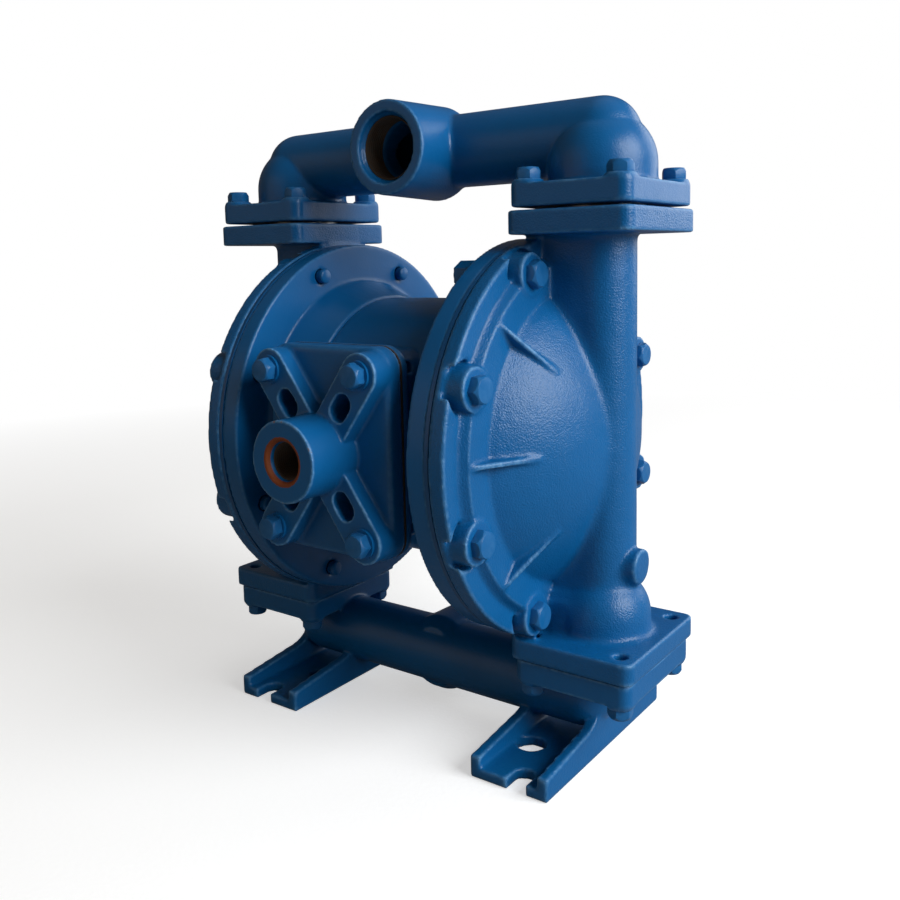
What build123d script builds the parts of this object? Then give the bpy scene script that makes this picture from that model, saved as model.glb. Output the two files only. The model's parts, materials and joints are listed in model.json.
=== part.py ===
"""Air operated double diaphragm pump, 1 1/2 inch ports, metal body, ball check valves.

Frame, in millimetres: +Z up, the feet stand on Z = 0, the air chambers lie left and right along X,
and the discharge port and air inlet face the front, which is -Y. Z = 0 under the pump's centre is the origin.
"""

from build123d import *
import os
from math import asin, atan2, copysign, cos, degrees, radians, sin, sqrt

os.makedirs("parts", exist_ok=True)

# Layout
axis_z = 240.0             # height of the diaphragm rod's axis
port_x = 150.0             # left and right fluid ports stand this far from the middle
discharge_rise = 51.8      # of the discharge pipe's centre line over the top joint
suction_z = 42.0           # height of the suction pipe's centre line
port_reach = 63.2          # from a manifold's centre line to its port face
stroke = 18.0              # diaphragm rod travel each way from mid stroke

# Chamber rims
rim_radius = 151.8
seam_x = 99.1              # middle plane of the diaphragm's clamped rim
diaphragm_thick = 3.0
inner_rim_x = 82.0         # inboard face of the inner chamber's rim
outer_rim_x = 113.8        # outboard face of the ledges on the outer chamber's rim
inner_rim_step = 1.2       # the inner chamber's rim is this much smaller
diaphragm_inset = 0.8      # the diaphragm stays this far inside the outer rim
rim_floor_x = 106.0        # the rim's face in the notches round the bolts
rim_notch_radius = 19.0
rim_bolt_inset = 17.1      # of the bolts' centres from the rim's edge
rim_bolt_count = 8

# Outer chamber
dome_radius = 155.0
dome_apex_x = 166.0
dome_wall = 7.0
plateau_x = 120.3
plateau_inset = 2.7        # of the plateau's edge from the bolts' centres
rim_draft = 0.69           # radius gained per millimetre inboard of the plateau
mouth_radius = 112.0
rim_boss_radius = 15.5
rim_boss_rise = 1.5        # of the bolt bosses over the plateau
riser_radius = 24.8
riser_bore = 17.0
riser_bore_shift = 2.0     # the riser's bore lies this much inboard of its axis
riser_foot_z = 300.0       # the riser's bore opens into the chamber down to here
cage_radius = 28.0
cage_wall = 7.8
cage_centre_z = 108.0
rib_thick = 4.0
rib_foot_radius = 80.0     # the ribs run out on the dome here
rib_rise = 1.0
rib_sink = 2.0
rib_tilts = (45, 90, 135, 225, 270, 315)
outlet_radius = 14.0       # passage from the cage into the chamber
outlet_tilt = radians(33.5)
outlet_length = 60.0
drain_boss_radius = 13.6
drain_boss_x = 182.5
drain_boss_z = 147.7

# Port flanges
flange_x = 48.3
flange_y = 57.3
flange_step = 1.7          # the manifolds' flanges are this much smaller all round
flange_corner = 8.0
bottom_flange_z = 80.7
bottom_flange_thick = 15.8
bottom_flange_step = 1.0   # the chambers' bottom flanges are this much larger all round
flange_over_rim = 0.5      # from the rim's top to the top flange
top_flange_thick = 17.1
top_joint_gap = 2.0
bottom_joint_gap = 1.0
manifold_flange_thick = 16.7
port_bolt_x = 35.6
port_bolt_y = 44.6

# Check valves
ball_radius = 22.5
ball_gap = 0.2             # between a resting ball and its seat
ball_lift = 11.0
seat_radius = 31.0
seat_thick = 9.0
seat_bore = 15.0
seat_cone = 5.0            # 45 degree lead at the seat's upper edge
seat_clearance = 0.2
seal_bore = 21.0
seal_radius = 29.5
seal_thick = 2.0

# Discharge manifold
discharge_pipe_radius = 28.4
pipe_wall = 7.0
elbow_radius = 39.3
elbow_wall = 7.5
elbow_rise = 31.6          # of the elbows' centres over the top joint
discharge_end_x = 150.0
discharge_boss_radius = 35.6
port_boss_draft = 1.9
port_thread = 24.1         # 1 1/2 inch taper pipe thread
port_thread_depth = 26.0
port_lead_radius = 26.6
port_lead_depth = 5.0
boss_tail = 5.0
boss_taper = 12.0
boss_sink = 2.0
stop_thick = 6.0
stop_width = 24.0
pad_height = 3.0

# Suction manifold and feet
suction_pipe_radius = 27.4
suction_neck_radius = 26.5
suction_neck_x = 134.0     # the necks stand inboard of the ports, between the foot's webs
suction_end_x = 133.0
port_floor = 6.0           # left under the part of a port that lies outboard of its neck
suction_boss_radius = 30.6
foot_x = 121.6
foot_half_width = 32.4
foot_reach = 94.2
foot_base = 8.3
foot_wall = 8.5
foot_tip_height = 16.6
foot_knee_height = 24.0
foot_knee_y = 32.0
foot_root_y = 12.0
foot_sink = 1.0            # the webs reach this far into the flanges
foot_slot_x = 128.2
foot_slot_width = 16.0
foot_slot_depth = 20.0
foot_hole_x = 109.5
foot_hole_y = 41.2
foot_hole_radius = 11.0

# Inner chamber and intermediate
drum_end_x = 50.0
drum_radius = 105.0
hub_radius = 107.0
hub_flare = 0.39           # radius gained per millimetre outboard
hub_fillet = 6.0
chamber_floor_x = 62.0
floor_radius = 96.0
floor_flare = 8.0          # 45 degree run-out at the edge of the chamber's floor

# Diaphragm, plates and rod
rod_radius = 12.5
rod_chamfer = 0.8
running_fit = 0.05
rod_passage = 1.5          # clearance round the rod away from its bushings
hub_x = 109.0              # middle plane of the diaphragm's clamped hub
roll_radius = 64.0
mouth_gap = 2.0            # the diaphragm leaves its clamped flat this far inside the mouth
plate_radius = 60.0
outer_plate_thick = 11.0
inner_plate_thick = 10.0
rod_bushing_radius = 16.0
rod_bushing_length = 19.0
rod_seal_radius = 17.0
rod_seal_length = 6.0
plate_boss = 16.0
plate_nose = 8.0
plate_nose_taper = 2.0
plate_flat_radius = 40.0
plate_bead = 3.0
plate_bevel = 4.0
bumper_radius = 26.0
bumper_clearance = 1.5

# Air inlet cap
cap_rise = 1.0             # of the cap's middle over the rod's axis
cap_half_x = 58.0
cap_half_z = 76.3
cap_corner = 17.0
cap_back_y = 123.0
cap_slab = 14.0
cap_edge_fillet = 5.0
cap_arm_height = 27.7
cap_arm_width = 31.0
cap_pocket_width = 15.0
cap_pocket_floor = 7.0
cap_pocket_wall = 3.0
cap_bolt_x = 42.5
cap_bolt_z = 58.4
cap_bolt_depth = 26.0
inlet_boss_radius = 29.0
inlet_boss_y = 182.7
inlet_thread = 13.4        # 3/4 inch taper pipe thread
inlet_lead = 4.3
gasket_thick = 1.5
neck_half_x = 48.0
neck_half_z = 70.0
neck_flange_thick = 7.0
chest_half_x = 30.0
chest_half_z = 46.0
chest_corner = 8.5
chest_floor_y = 88.0

# Air passages in the intermediate
air_port_radius = 6.0
air_port_y = 40.0
air_port_z = 200.0
air_port_length = 22.0
supply_port_z = 270.0

# Pilot valve
pilot_y = 62.0
pilot_travel = 5.0
pilot_spool_radius = 9.0
pilot_sleeve_radius = 14.0
pilot_sleeve_half = 42.0
pilot_spool_half = 35.0
pilot_port_pitch = 16.0
pilot_port_radius = 3.0
pilot_groove_width = 8.0
pilot_groove_depth = 2.5
pilot_seal_x = 28.0
seal_width = 3.0
seal_depth = 2.0
plunger_radius = 5.0
plunger_head_radius = 8.0
plunger_head_length = 4.5
plunger_gap = 0.2
plunger_margin = 0.8       # left between plunger tip and plate at the end of the stroke
plunger_bushing_radius = 9.0

# Main air valve
valve_half_x = 60.0
valve_half_z = 40.0
valve_corner = 9.0
valve_back_y = 168.0
valve_bore = 22.0
valve_port_width = 8.0
valve_port_pitch = 24.0
sleeve_groove = 2.0
sleeve_port_radius = 3.0
spool_radius = 16.0
spool_half = 50.0
spool_groove_width = 14.0
spool_groove_depth = 5.0
spool_seal_x = 44.0
end_cap_thick = 11.0
end_cap_half = 24.0
rear_pad_y = 112.0
rear_pad_half_x = 48.0
valve_screw_x = 38.0
valve_screw_z = 31.0
valve_screw_depth = 20.0
valve_screw_head = 6.5
end_screw_offset = 19.0
end_screw_radius = 3.0
end_screw_head = 4.8
end_screw_depth = 15.0
exhaust_boss_radius = 22.0
exhaust_boss_y = 180.0
exhaust_thread = 13.4
muffler_radius = 27.0
muffler_length = 74.0
muffler_hex = 19.0
muffler_hex_height = 9.0
muffler_bevel = 4.0
muffler_dome = 12.0
muffler_tip = 13.0
muffler_thread = 10.0

# Screws that hold the inner chambers to the intermediate
hub_screw_circle = 82.0
hub_screw_count = 6
hub_screw_radius = 4.0
hub_screw_head = 6.8
hub_screw_sink = 7.0
hub_screw_recess = 1.0     # of the screw heads below the chamber's floor
hub_screw_length = 22.0

# Fasteners
m12_radius = 6.0
m12_head = 10.6            # across corners / 2
m12_head_height = 7.4
m10_radius = 5.0
m10_head = 9.3
m10_head_height = 8.0
m8_radius = 4.0
thread_clearance = 0.1
through_clearance = 0.3    # round a bolt or screw in a plain hole
blind_gap = 1.0            # between a screw's end and the bottom of its hole
bolt_tail = 4.0
rim_bolt_tail = 7.0
earth_place = 2            # which of the right chamber's bolts, counted from the back upwards
earth_nut_length = 22.0
washer_radius = 10.6
washer_thick = 2.0

# Derived places
cap_z = axis_z + cap_rise
rim_bolt_circle = rim_radius - rim_bolt_inset
plateau_edge = rim_bolt_circle - plateau_inset
top_joint_z = axis_z + rim_radius + flange_over_rim + top_flange_thick
elbow_centre_z = top_joint_z + elbow_rise
discharge_z = top_joint_z + discharge_rise
inner_seam_x = seam_x - diaphragm_thick / 2
outer_seam_x = seam_x + diaphragm_thick / 2
rim_boss_x = plateau_x + rim_boss_rise
dome_centre_x = dome_apex_x - dome_radius
cavity_radius = dome_radius - dome_wall
seat_apex = seat_bore + seat_cone
ball_rise = sqrt(2) * (ball_radius + ball_gap) - seat_apex
suction_seat_z = bottom_flange_z
discharge_seat_z = top_joint_z + top_joint_gap
suction_ball_z = suction_seat_z + seat_thick + ball_rise
discharge_ball_z = discharge_seat_z + seat_thick + ball_rise
inner_rim_radius = rim_radius - inner_rim_step
hub_wall = chamber_floor_x - drum_end_x
neck_face_y = cap_back_y - gasket_thick
neck_flange_y = neck_face_y - neck_flange_thick
valve_front_y = rear_pad_y + gasket_thick
valve_y = (valve_front_y + valve_back_y) / 2
end_of_inner_plate = hub_x - diaphragm_thick / 2 - inner_plate_thick
plunger_tip_x = end_of_inner_plate - stroke + pilot_travel - plunger_margin

rod_plane = Plane(origin=(0, 0, axis_z), x_dir=(1, 0, 0), z_dir=(0, -1, 0))
rod_axis = Axis((0, 0, axis_z), (1, 0, 0))
sides = {"left": -1, "right": 1}


def across(x, y=0.0, z=axis_z):
    """Plane square to X, outboard normal, local axes Y and Z."""
    return Plane(origin=(x, y, z), x_dir=(0, 1, 0), z_dir=(1, 0, 0))


def facing_front(y, x=0.0, z=axis_z):
    """Plane square to Y that faces the front, local axes X and Z."""
    return Plane(origin=(x, -y, z), x_dir=(1, 0, 0), z_dir=(0, -1, 0))


def facing_back(y, x=0.0, z=axis_z):
    """Plane square to Y that faces the back, local axes -X and Z."""
    return Plane(origin=(x, y, z), x_dir=(-1, 0, 0), z_dir=(0, 1, 0))


def level(z, x=0.0, y=0.0):
    return Plane(origin=(x, y, z), x_dir=(1, 0, 0), z_dir=(0, 0, 1))


def save(piece, label):
    piece.part.label = label
    export_step(piece.part, f"parts/{label}.step")


def mirrored(piece):
    """The other hand of a piece, reflected in the pump's middle plane."""
    with BuildPart() as other:
        mirror(piece.part, about=Plane.YZ)
    return other


def save_pair(piece, label):
    save(piece, f"{label}_right")
    save(mirrored(piece), f"{label}_left")


def round_bar(plane, radius, length, mode=Mode.ADD):
    """Round bar, or with Mode.SUBTRACT a round hole, that starts on the plane and follows its normal."""
    with BuildSketch(plane) as disc:
        Circle(radius)
    extrude(disc.sketch, amount=length, mode=mode)


def round_cut(plane, radius, depth):
    """Round hole that starts on the plane and runs back against its normal."""
    round_bar(plane, radius, -depth, Mode.SUBTRACT)


def many_bars(plane, places, radius, length, mode=Mode.ADD):
    with BuildSketch(plane) as discs:
        with places:
            Circle(radius)
    extrude(discs.sketch, amount=length, mode=mode)


def rounded_block(plane, half_width, half_height, corner, length, mode=Mode.ADD):
    with BuildSketch(plane) as outline:
        RectangleRounded(2 * half_width, 2 * half_height, corner)
    extrude(outline.sketch, amount=length, mode=mode)


def half_ball(x, z, radius, upper=True, mode=Mode.ADD):
    """Half sphere whose flat side is level and centred on x, z."""
    first, last, rest = (0, 90, Align.MIN) if upper else (-90, 0, Align.MAX)
    with Locations((x, 0, z)):
        Sphere(radius, arc_size1=first, arc_size2=last, align=(Align.CENTER, Align.CENTER, rest), mode=mode)


def port_bolt_places():
    return GridLocations(2 * port_bolt_x, 2 * port_bolt_y, 2, 2)


def hub_screw_places():
    return PolarLocations(hub_screw_circle, hub_screw_count)


def cap_bolt_places():
    return GridLocations(2 * cap_bolt_x, 2 * cap_bolt_z, 2, 2)


def valve_screw_places():
    return GridLocations(2 * valve_screw_x, 2 * valve_screw_z, 2, 2)


def end_screw_places():
    return GridLocations(2 * end_screw_offset, 2 * end_screw_offset, 2, 2)


def rim_places():
    return PolarLocations(rim_bolt_circle, rim_bolt_count, start_angle=180 / rim_bolt_count)


def hex_bolts(plane, places, radius, head, head_height, length):
    """Hexagon head bolts whose heads sit on the plane and whose shanks run back through it."""
    with BuildSketch(plane) as heads:
        with places:
            RegularPolygon(head, 6)
    extrude(heads.sketch, amount=head_height)
    many_bars(plane, places, radius - thread_clearance, -length)


def turned(points, mode=Mode.ADD, axis=rod_axis, plane=rod_plane):
    """Solid turned about the axis from a closed outline of (along, radius) points."""
    with BuildSketch(plane) as section:
        with BuildLine() as outline:
            Polyline(*points, close=True)
        make_face(outline.line)
    revolve(section.sketch, axis=axis, mode=mode)


# Outer chamber: domed cover, riser, check valve cage and both port flanges in one casting
dome_edge = sqrt(dome_radius**2 - (plateau_x - dome_centre_x) ** 2)
dome_angle = degrees(asin(dome_edge / dome_radius))
cage_outer = cage_radius + cage_wall
rib_foot_x = dome_centre_x + sqrt(dome_radius**2 - rib_foot_radius**2)

with BuildPart() as outer_chamber:
    round_bar(across(outer_seam_x), rim_radius, outer_rim_x - outer_seam_x)
    many_bars(across(rim_floor_x), rim_places(), rim_notch_radius, outer_rim_x - rim_floor_x, Mode.SUBTRACT)
    with BuildSketch(rod_plane):
        with BuildLine():
            CenterArc((dome_centre_x, 0), dome_radius, 0, dome_angle)
            Polyline(
                (plateau_x, dome_edge),
                (plateau_x, plateau_edge),
                (outer_seam_x, plateau_edge + rim_draft * (plateau_x - outer_seam_x)),
                (outer_seam_x, 0),
                (dome_apex_x, 0),
            )
        make_face()
    revolve(axis=rod_axis)
    many_bars(across(outer_seam_x), rim_places(), rim_boss_radius, rim_boss_x - outer_seam_x)
    round_bar(level(cage_centre_z, port_x), riser_radius, top_joint_z - cage_centre_z)
    round_bar(level(bottom_flange_z, port_x), cage_outer, cage_centre_z - bottom_flange_z)
    half_ball(port_x, cage_centre_z, cage_outer)
    rounded_block(
        level(bottom_flange_z, port_x),
        flange_x + bottom_flange_step,
        flange_y + bottom_flange_step,
        flange_corner,
        bottom_flange_thick,
    )
    rounded_block(level(top_joint_z, port_x), flange_x, flange_y, flange_corner, -top_flange_thick)
    round_bar(across(port_x, z=drain_boss_z), drain_boss_radius, drain_boss_x - port_x)
    for tilt in rib_tilts:
        rib_plane = Plane(
            origin=(0, 0, axis_z),
            x_dir=(1, 0, 0),
            z_dir=(0, cos(radians(tilt)), sin(radians(tilt))),
        )
        with BuildSketch(rib_plane):
            with BuildLine():
                Polyline(
                    (plateau_x - rib_sink, dome_edge - rib_sink),
                    (plateau_x - rib_sink, plateau_edge - rib_sink),
                    (plateau_x + rib_rise, plateau_edge - rib_sink),
                    (rib_foot_x + rib_rise, rib_foot_radius),
                    (rib_foot_x - rib_sink, rib_foot_radius - rib_sink),
                    close=True,
                )
            make_face()
        extrude(amount=rib_thick / 2, both=True)
    with BuildSketch(rod_plane):
        with Locations((dome_centre_x, 0)):
            Circle(cavity_radius)
        with Locations((outer_seam_x, 0)):
            Rectangle(cavity_radius, mouth_radius, align=(Align.MIN, Align.MIN), mode=Mode.INTERSECT)
    revolve(axis=rod_axis, mode=Mode.SUBTRACT)
    round_cut(level(suction_seat_z + seat_thick, port_x), seat_radius + seat_clearance, seat_thick)
    round_cut(level(cage_centre_z, port_x), cage_radius, cage_centre_z - suction_seat_z - seat_thick)
    half_ball(port_x, cage_centre_z, cage_radius, mode=Mode.SUBTRACT)
    cage_outlet = Plane(
        origin=(port_x, 0, cage_centre_z), x_dir=(0, 1, 0), z_dir=(-sin(outlet_tilt), 0, cos(outlet_tilt))
    )
    round_bar(cage_outlet, outlet_radius, outlet_length, Mode.SUBTRACT)
    round_cut(level(top_joint_z, port_x - riser_bore_shift), riser_bore, top_joint_z - riser_foot_z)
    for z, thick in ((bottom_flange_z, bottom_flange_thick), (top_joint_z, -top_flange_thick)):
        many_bars(level(z, port_x), port_bolt_places(), m10_radius, thick, Mode.SUBTRACT)
    many_bars(across(rim_boss_x), rim_places(), m12_radius, outer_seam_x - rim_boss_x, Mode.SUBTRACT)
save_pair(outer_chamber, "outer_chamber")


# Inner chamber: flared drum with a flat clamping rim
hub_at_rim = hub_radius + hub_flare * (inner_rim_x - drum_end_x)
with BuildPart() as inner_chamber:
    with BuildSketch(rod_plane) as section:
        with BuildLine():
            Polyline(
                (drum_end_x, 0),
                (drum_end_x, hub_radius),
                (inner_rim_x, hub_at_rim),
                (inner_rim_x, inner_rim_radius),
                (inner_seam_x, inner_rim_radius),
                (inner_seam_x, mouth_radius),
                (chamber_floor_x + floor_flare, floor_radius + floor_flare),
                (chamber_floor_x, floor_radius),
                (chamber_floor_x, 0),
                close=True,
            )
        make_face()
        root = section.vertices().sort_by_distance((inner_rim_x, 0, axis_z + hub_at_rim))[0]
        fillet(root, radius=hub_fillet)
    revolve(axis=rod_axis)
    round_bar(across(drum_end_x), rod_radius + rod_passage, hub_wall, Mode.SUBTRACT)
    round_bar(across(drum_end_x), rod_seal_radius, rod_seal_length, Mode.SUBTRACT)
    many_bars(across(inner_seam_x), rim_places(), m12_radius, inner_rim_x - inner_seam_x, Mode.SUBTRACT)
    many_bars(across(chamber_floor_x), hub_screw_places(), hub_screw_radius, -hub_wall, Mode.SUBTRACT)
    many_bars(across(chamber_floor_x), hub_screw_places(), hub_screw_head, -hub_screw_sink, Mode.SUBTRACT)
    round_bar(across(drum_end_x, -pilot_y), plunger_bushing_radius, hub_wall, Mode.SUBTRACT)
    round_bar(across(drum_end_x, air_port_y, air_port_z), air_port_radius, hub_wall, Mode.SUBTRACT)
save_pair(inner_chamber, "inner_chamber")

with BuildPart() as hub_screws:
    for side in sides.values():
        seat_x = side * (chamber_floor_x - hub_screw_sink)
        seat = Plane(origin=(seat_x, 0, axis_z), x_dir=(0, 1, 0), z_dir=(side, 0, 0))
        head_height = hub_screw_sink - hub_screw_recess
        many_bars(seat, hub_screw_places(), hub_screw_head - thread_clearance, head_height)
        many_bars(seat, hub_screw_places(), hub_screw_radius - thread_clearance, -hub_screw_length)
save(hub_screws, "inner_chamber_screws")

# Intermediate: drum between the chambers, with the air chest at the front and the valve pad at the back
with BuildPart() as intermediate:
    round_bar(across(-drum_end_x), drum_radius, 2 * drum_end_x)
    rounded_block(facing_front(0, z=cap_z), neck_half_x, neck_half_z, cap_corner, neck_flange_y)
    rounded_block(facing_front(neck_flange_y, z=cap_z), cap_half_x, cap_half_z, cap_corner, neck_flange_thick)
    rounded_block(facing_back(0), rear_pad_half_x, valve_half_z, valve_corner, rear_pad_y)
    round_bar(across(-drum_end_x), rod_radius + rod_passage, 2 * drum_end_x, Mode.SUBTRACT)
    for side in sides.values():
        end = across(side * drum_end_x)
        round_bar(end, rod_bushing_radius, -side * rod_bushing_length, Mode.SUBTRACT)
        many_bars(end, hub_screw_places(), hub_screw_radius, -side * hub_screw_length, Mode.SUBTRACT)
        air_port = across(side * drum_end_x, air_port_y, air_port_z)
        round_bar(air_port, air_port_radius, -side * air_port_length, Mode.SUBTRACT)
        riser_port = facing_back(rear_pad_y, side * (drum_end_x - air_port_length), air_port_z)
        round_cut(riser_port, air_port_radius, rear_pad_y - air_port_y)
    round_bar(across(-drum_end_x, -pilot_y), pilot_sleeve_radius, 2 * drum_end_x, Mode.SUBTRACT)
    chest_plane = facing_front(chest_floor_y, z=cap_z)
    rounded_block(chest_plane, chest_half_x, chest_half_z, chest_corner, cap_back_y, Mode.SUBTRACT)
    round_cut(facing_front(chest_floor_y), air_port_radius, chest_floor_y - pilot_y)
    supply_port = facing_front(-rear_pad_y, z=supply_port_z)
    round_bar(supply_port, air_port_radius, rear_pad_y + cap_back_y, Mode.SUBTRACT)
    many_bars(facing_front(neck_face_y, z=cap_z), cap_bolt_places(), m10_radius, -cap_bolt_depth, Mode.SUBTRACT)
    many_bars(facing_back(rear_pad_y), valve_screw_places(), m8_radius, -valve_screw_depth, Mode.SUBTRACT)
save(intermediate, "intermediate_body")

with BuildPart() as rod_bushings:
    for side in sides.values():
        round_bar(across(side * drum_end_x), rod_bushing_radius, -side * rod_bushing_length)
    round_bar(across(-drum_end_x), rod_radius + running_fit, 2 * drum_end_x, Mode.SUBTRACT)
save(rod_bushings, "rod_bushings")

with BuildPart() as rod_seals:
    for side in sides.values():
        round_bar(across(side * drum_end_x), rod_seal_radius, side * rod_seal_length)
    reach = drum_end_x + rod_seal_length
    round_bar(across(-reach), rod_radius + running_fit, 2 * reach, Mode.SUBTRACT)
save(rod_seals, "rod_seals")

bumper_end = end_of_inner_plate - stroke - bumper_clearance
with BuildPart() as bumpers:
    for side in sides.values():
        round_bar(across(side * chamber_floor_x), bumper_radius, side * (bumper_end - chamber_floor_x))
    round_bar(across(-bumper_end), rod_radius + rod_passage, 2 * bumper_end, Mode.SUBTRACT)
save(bumpers, "rod_bumpers")

# Diaphragms, their plates and the rod that joins them
half_skin = diaphragm_thick / 2
with BuildPart() as diaphragm:
    with BuildSketch(rod_plane):
        with BuildLine():
            Polyline(
                (hub_x + half_skin, rod_radius),
                (hub_x + half_skin, roll_radius),
                (outer_seam_x, mouth_radius - mouth_gap),
                (outer_seam_x, rim_radius - diaphragm_inset),
                (inner_seam_x, rim_radius - diaphragm_inset),
                (inner_seam_x, mouth_radius - mouth_gap),
                (hub_x - half_skin, roll_radius),
                (hub_x - half_skin, rod_radius),
                close=True,
            )
        make_face()
    revolve(axis=rod_axis)
    many_bars(across(inner_seam_x), rim_places(), m12_radius, diaphragm_thick, Mode.SUBTRACT)
save_pair(diaphragm, "diaphragm")

outer_plate_face = hub_x + half_skin
outer_plate_end = outer_plate_face + outer_plate_thick
with BuildPart() as outer_plate:
    turned(
        [
            (outer_plate_face, 0),
            (outer_plate_face, plate_radius),
            (outer_plate_face + plate_bead, plate_radius + plate_bead / 2),
            (outer_plate_end - plate_bevel, plate_radius - plate_bevel),
            (outer_plate_end, plate_flat_radius),
            (outer_plate_end, plate_boss),
            (outer_plate_end + plate_nose, plate_boss - plate_nose_taper),
            (outer_plate_end + plate_nose, 0),
        ]
    )
save_pair(outer_plate, "outer_plate")

with BuildPart() as inner_plate:
    turned(
        [
            (end_of_inner_plate, rod_radius),
            (end_of_inner_plate, plate_radius - 2 * plate_bevel),
            (end_of_inner_plate + plate_bevel, plate_radius + plate_bead / 2),
            (hub_x - half_skin, plate_radius),
            (hub_x - half_skin, rod_radius),
        ]
    )
save_pair(inner_plate, "inner_plate")

with BuildPart() as rod:
    round_bar(across(-outer_plate_face), rod_radius, 2 * outer_plate_face)
    chamfer(rod.edges().filter_by(GeomType.CIRCLE), length=rod_chamfer)
save(rod, "diaphragm_rod")

# Pilot valve: sleeve, spool and one plunger to each chamber
with BuildPart() as pilot_sleeve:
    round_bar(across(-pilot_sleeve_half, -pilot_y), pilot_sleeve_radius, 2 * pilot_sleeve_half)
    round_cut(across(pilot_sleeve_half, -pilot_y), pilot_spool_radius + running_fit, 2 * pilot_sleeve_half)
    for x in (-pilot_port_pitch, 0, pilot_port_pitch):
        round_bar(facing_front(pilot_y, x), pilot_port_radius, 2 * pilot_sleeve_radius, Mode.SUBTRACT)
save(pilot_sleeve, "pilot_valve_sleeve")


def ring_at(x, y, outer, inner, width, mode=Mode.ADD):
    """Ring about a line along X, centred on x."""
    with BuildSketch(across(x - width / 2, y)) as ring:
        Circle(outer)
        Circle(inner, mode=Mode.SUBTRACT)
    extrude(ring.sketch, amount=width, mode=mode)


def grooved_spool(y, radius, half_length, groove_width, groove_depth, port_pitch, seal_x):
    """Round spool along X with two port grooves and a seal groove near each end."""
    round_bar(across(-half_length, y), radius, 2 * half_length)
    for side in sides.values():
        ring_at(side * port_pitch / 2, y, radius, radius - groove_depth, groove_width, Mode.SUBTRACT)
        ring_at(side * seal_x, y, radius, radius - seal_depth, seal_width, Mode.SUBTRACT)


with BuildPart() as pilot_spool:
    grooved_spool(
        -pilot_y,
        pilot_spool_radius,
        pilot_spool_half,
        pilot_groove_width,
        pilot_groove_depth,
        pilot_port_pitch,
        pilot_seal_x,
    )
save(pilot_spool, "pilot_spool")

with BuildPart() as pilot_seals:
    for side in sides.values():
        ring_at(side * pilot_seal_x, -pilot_y, pilot_spool_radius, pilot_spool_radius - seal_depth, seal_width)
save(pilot_seals, "pilot_spool_seals")

with BuildPart() as plunger:
    head_x = pilot_spool_half + plunger_gap
    round_bar(across(head_x, -pilot_y), plunger_head_radius, plunger_head_length)
    round_bar(across(head_x, -pilot_y), plunger_radius, plunger_tip_x - head_x)
save_pair(plunger, "actuator_plunger")

with BuildPart() as plunger_bushings:
    for side in sides.values():
        round_bar(across(side * drum_end_x, -pilot_y), plunger_bushing_radius, side * hub_wall)
    plunger_bore = across(-chamber_floor_x, -pilot_y)
    round_bar(plunger_bore, plunger_radius + running_fit, 2 * chamber_floor_x, Mode.SUBTRACT)
save(plunger_bushings, "plunger_bushings")

# Air inlet cap: plate, four hollow arms in an X and the threaded inlet boss
arm_tilt = degrees(atan2(cap_bolt_z, cap_bolt_x))
arm_length = sqrt(cap_bolt_x**2 + cap_bolt_z**2)
pocket_start = inlet_boss_radius + cap_pocket_wall
pocket_end = arm_length - cap_arm_width / 2 - cap_pocket_wall
pocket_middle = (pocket_start + pocket_end) / 2
cap_plane = facing_front(cap_back_y, z=cap_z)
cap_arm_face = facing_front(cap_back_y + cap_arm_height, z=cap_z)
with BuildPart() as inlet_cap:
    rounded_block(cap_plane, cap_half_x, cap_half_z, cap_corner, cap_slab)
    fillet(inlet_cap.faces().sort_by(Axis.Y)[0].edges(), radius=cap_edge_fillet)
    with BuildSketch(cap_plane):
        for tilt in (arm_tilt, -arm_tilt):
            SlotCenterToCenter(2 * arm_length, cap_arm_width, rotation=tilt)
    extrude(amount=cap_arm_height)
    round_bar(cap_plane, inlet_boss_radius, inlet_boss_y - cap_back_y)
    with BuildSketch(cap_arm_face):
        for tilt in (arm_tilt, 180 - arm_tilt, 180 + arm_tilt, -arm_tilt):
            middle = (pocket_middle * cos(radians(tilt)), pocket_middle * sin(radians(tilt)))
            with Locations(middle):
                SlotOverall(pocket_end - pocket_start, cap_pocket_width, rotation=tilt)
    extrude(amount=cap_pocket_floor - cap_arm_height, mode=Mode.SUBTRACT)
    many_bars(cap_plane, cap_bolt_places(), m10_radius + through_clearance, cap_arm_height, Mode.SUBTRACT)
    round_bar(cap_plane, inlet_thread, inlet_boss_y - cap_back_y, Mode.SUBTRACT)
    inlet_edge = inlet_cap.faces().sort_by(Axis.Y)[0].edges().sort_by(SortBy.RADIUS)[0]
    chamfer(inlet_edge, length=inlet_lead, length2=inlet_lead / 2)
save(inlet_cap, "air_inlet_cap")

with BuildPart() as cap_gasket:
    neck_face = facing_front(neck_face_y, z=cap_z)
    rounded_block(neck_face, cap_half_x, cap_half_z, cap_corner, gasket_thick)
    rounded_block(neck_face, chest_half_x, chest_half_z, chest_corner, gasket_thick, Mode.SUBTRACT)
    many_bars(neck_face, cap_bolt_places(), m10_radius, gasket_thick, Mode.SUBTRACT)
save(cap_gasket, "inlet_cap_gasket")

washer_face_y = cap_back_y + cap_arm_height + washer_thick
with BuildPart() as cap_washers:
    many_bars(cap_arm_face, cap_bolt_places(), washer_radius, washer_thick)
    many_bars(cap_arm_face, cap_bolt_places(), m10_radius, washer_thick, Mode.SUBTRACT)
save(cap_washers, "inlet_cap_washers")

with BuildPart() as cap_bolts:
    hex_bolts(
        facing_front(washer_face_y, z=cap_z),
        cap_bolt_places(),
        m10_radius,
        m10_head,
        m10_head_height,
        washer_face_y - neck_face_y + cap_bolt_depth - blind_gap,
    )
save(cap_bolts, "inlet_cap_bolts")

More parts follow.
